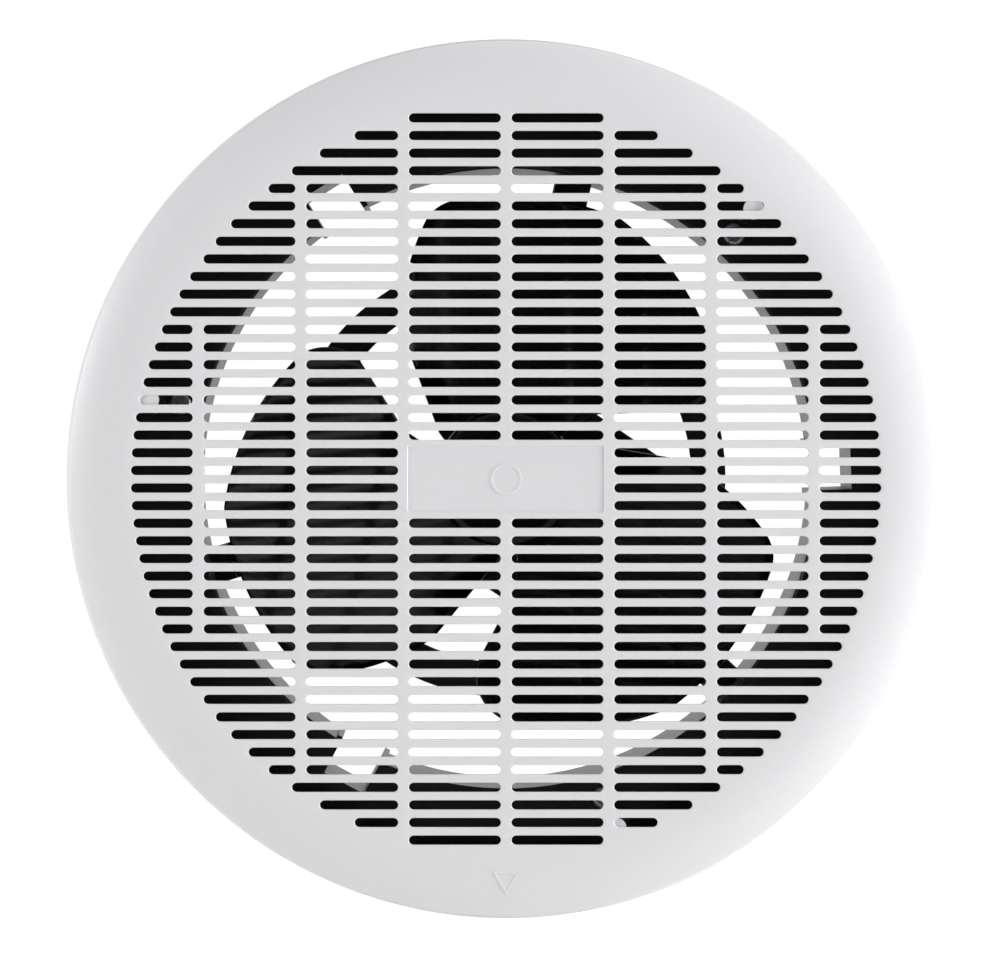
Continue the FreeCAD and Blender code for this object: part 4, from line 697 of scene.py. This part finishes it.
# %% [markdown]
# ## The motor's coil
#
# The coil is a few hundred turns of enamelled wire round one leg of the iron core, and its outer
# layer shows as a row of fine, even ridges.  A wire could be wound as one long helix, but only the
# skin of the outer layer is ever seen.  So the coil is a closed grid: a rounded rectangle repeated
# across the width, each time shrunk by the round of the wire, w (1 - sqrt(1 - u^2)), where u runs
# from -1 to 1 over one turn of radius w.  Two plain rectangles close it round the core's leg.

# %% Coil
COIL_ANGLE, COIL_HALF = 56.0, 22.9
COIL_SIZE, COIL_CENTRE, COIL_CORNER = (34.0, 35.0), (-41.5, -77.0), 3.0
LEG_SIZE, LEG_CENTRE, LEG_CORNER = (18.6, 22.6), (-42.0, -77.0), 0.5
WIRE = 0.3            # the wire's radius with its enamel
STEPS = 6             # sections across one turn
count = round(COIL_HALF / WIRE) * STEPS + 1
u = (np.arange(count) % STEPS) / (STEPS / 2) - 1
shrink = WIRE * (1 - np.sqrt(1 - (0.97 * u) ** 2))
wound = COIL_CENTRE + np.array([rounded_box(COIL_SIZE[0] - 2 * g, COIL_SIZE[1] - 2 * g,
                                            COIL_CORNER - g) for g in shrink])
leg = LEG_CENTRE + rounded_box(*LEG_SIZE, LEG_CORNER)
sections = np.concatenate([wound, leg[None], leg[None]])
place = np.r_[np.linspace(-1, 1, count) * COIL_HALF, COIL_HALF, -COIL_HALF]
coil_points = stood_up(place[:, None], sections[:, :, 0], sections[:, :, 1])
coil = make_piece("coil_turns", turned_about_axis(coil_points, COIL_ANGLE).reshape(-1, 3) * MM,
                  [grid_faces(len(place), len(leg), close_rows=True, close_columns=True)],
                  outward=True)
coil.data.materials.append(ENAMELLED)
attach(coil, "root")
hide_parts("coil_winding")
low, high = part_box("coil_winding")
new = np.array(coil.bound_box)
print("coil box in mm: CAD", [round(v / MM, 1) for v in (*low, *high)],
      "new", (new.min(0) / MM).round(1), (new.max(0) / MM).round(1))

# %% [markdown]
# ## Studio
#
# The fan hangs in front of plain white, lit softly.  Light comes from the white behind it and from
# large soft boxes at the right, the left and the top, the right one the strongest, so the shallow
# rim brightens to the right while black surfaces that face the room stay black.  A small
# box ahead on the left puts a faint sheen on the blades.  The backdrop is seen as white from
# every side, though it lights the fan only from behind.  A pale floor lies well below the fan.

# %% World, lights and floor
scene = bpy.context.scene
scene.view_settings.view_transform = "Standard"
world = bpy.data.worlds.new("white_studio")
scene.world = world
world.use_nodes = True
sky = world.node_tree
direction = add(sky, "ShaderNodeTexCoord").outputs["Generated"]
depth = add(sky, "ShaderNodeSeparateXYZ", Vector=direction).outputs["Y"]
lighting = add(sky, "ShaderNodeMapRange", Value=depth, From_Min=0.1, From_Max=0.9, To_Min=0.02,
               To_Max=0.8)
seen = add(sky, "ShaderNodeLightPath").outputs["Is Camera Ray"]
strength = add(sky, "ShaderNodeMix", {"data_type": "FLOAT"}, _0=seen,
               _2=lighting.outputs["Result"], _3=1.05)
sky.links.new(strength.outputs[0], sky.nodes["Background"].inputs["Strength"])
sky.nodes["Background"].inputs["Color"].default_value = (1, 1, 1, 1)

AIM = Vector((0.0, 0.02, 0.0))


def area_light(name, place, size, power):
    """A square area light at place, in metres, turned to face the fan."""
    light = bpy.data.lights.new(name, "AREA")
    light.size = size
    light.energy = power
    lamp = bpy.data.objects.new(name, light)
    lamp.location = place
    lamp.rotation_euler = (AIM - lamp.location).to_track_quat("-Z", "Y").to_euler()
    bpy.context.collection.objects.link(lamp)
    return lamp


area_light("right_box", Vector((1.9, -0.45, 0.1)), 1.2, 49)
area_light("top_box", Vector((0.2, -0.5, 1.9)), 1.2, 14)
area_light("left_box", Vector((-1.8, -0.6, 0.1)), 1.2, 13)
area_light("streak_box", Vector((-1.9, -1.3, 0.5)), 0.35, 16)

FLOOR_DROP, half = 0.35, 3.0
floor_level = cad_low[2] - FLOOR_DROP
floor = make_piece("floor", [(-half, -half, floor_level), (half, -half, floor_level),
                             (half, half, floor_level), (-half, half, floor_level)],
                   [np.array([[0, 1, 2, 3]])])
floor.data.materials.append(new_material("pale_floor", "#eeeeec", 0.8)[0])

# %% [markdown]
# ## Camera
#
# The view is almost square on to the grille from the room, with a long lens some way off, so the
# duct's far edge is only a little smaller than its mouth.  The lens stands a little above and to
# the left of the fan's axis.

# %% Camera
PICTURE_WIDTH = 0.3956          # how much of the grille's plane the picture spans
DISTANCE = 2.85
camera_data = bpy.data.cameras.new("front_camera")
camera = bpy.data.objects.new("front_camera", camera_data)
bpy.context.collection.objects.link(camera)
target = Vector((-0.00326, cad_low[1], -0.0003))
camera.location = (-0.0125, cad_low[1] - DISTANCE, 0.036)
camera.rotation_euler = (target - camera.location).to_track_quat("-Z", "Y").to_euler()
camera_data.sensor_width = 36.0
camera_data.lens = camera_data.sensor_width * DISTANCE / PICTURE_WIDTH
camera_data.clip_end = 50
scene.camera = camera
print("lens", round(camera_data.lens, 1), "mm")
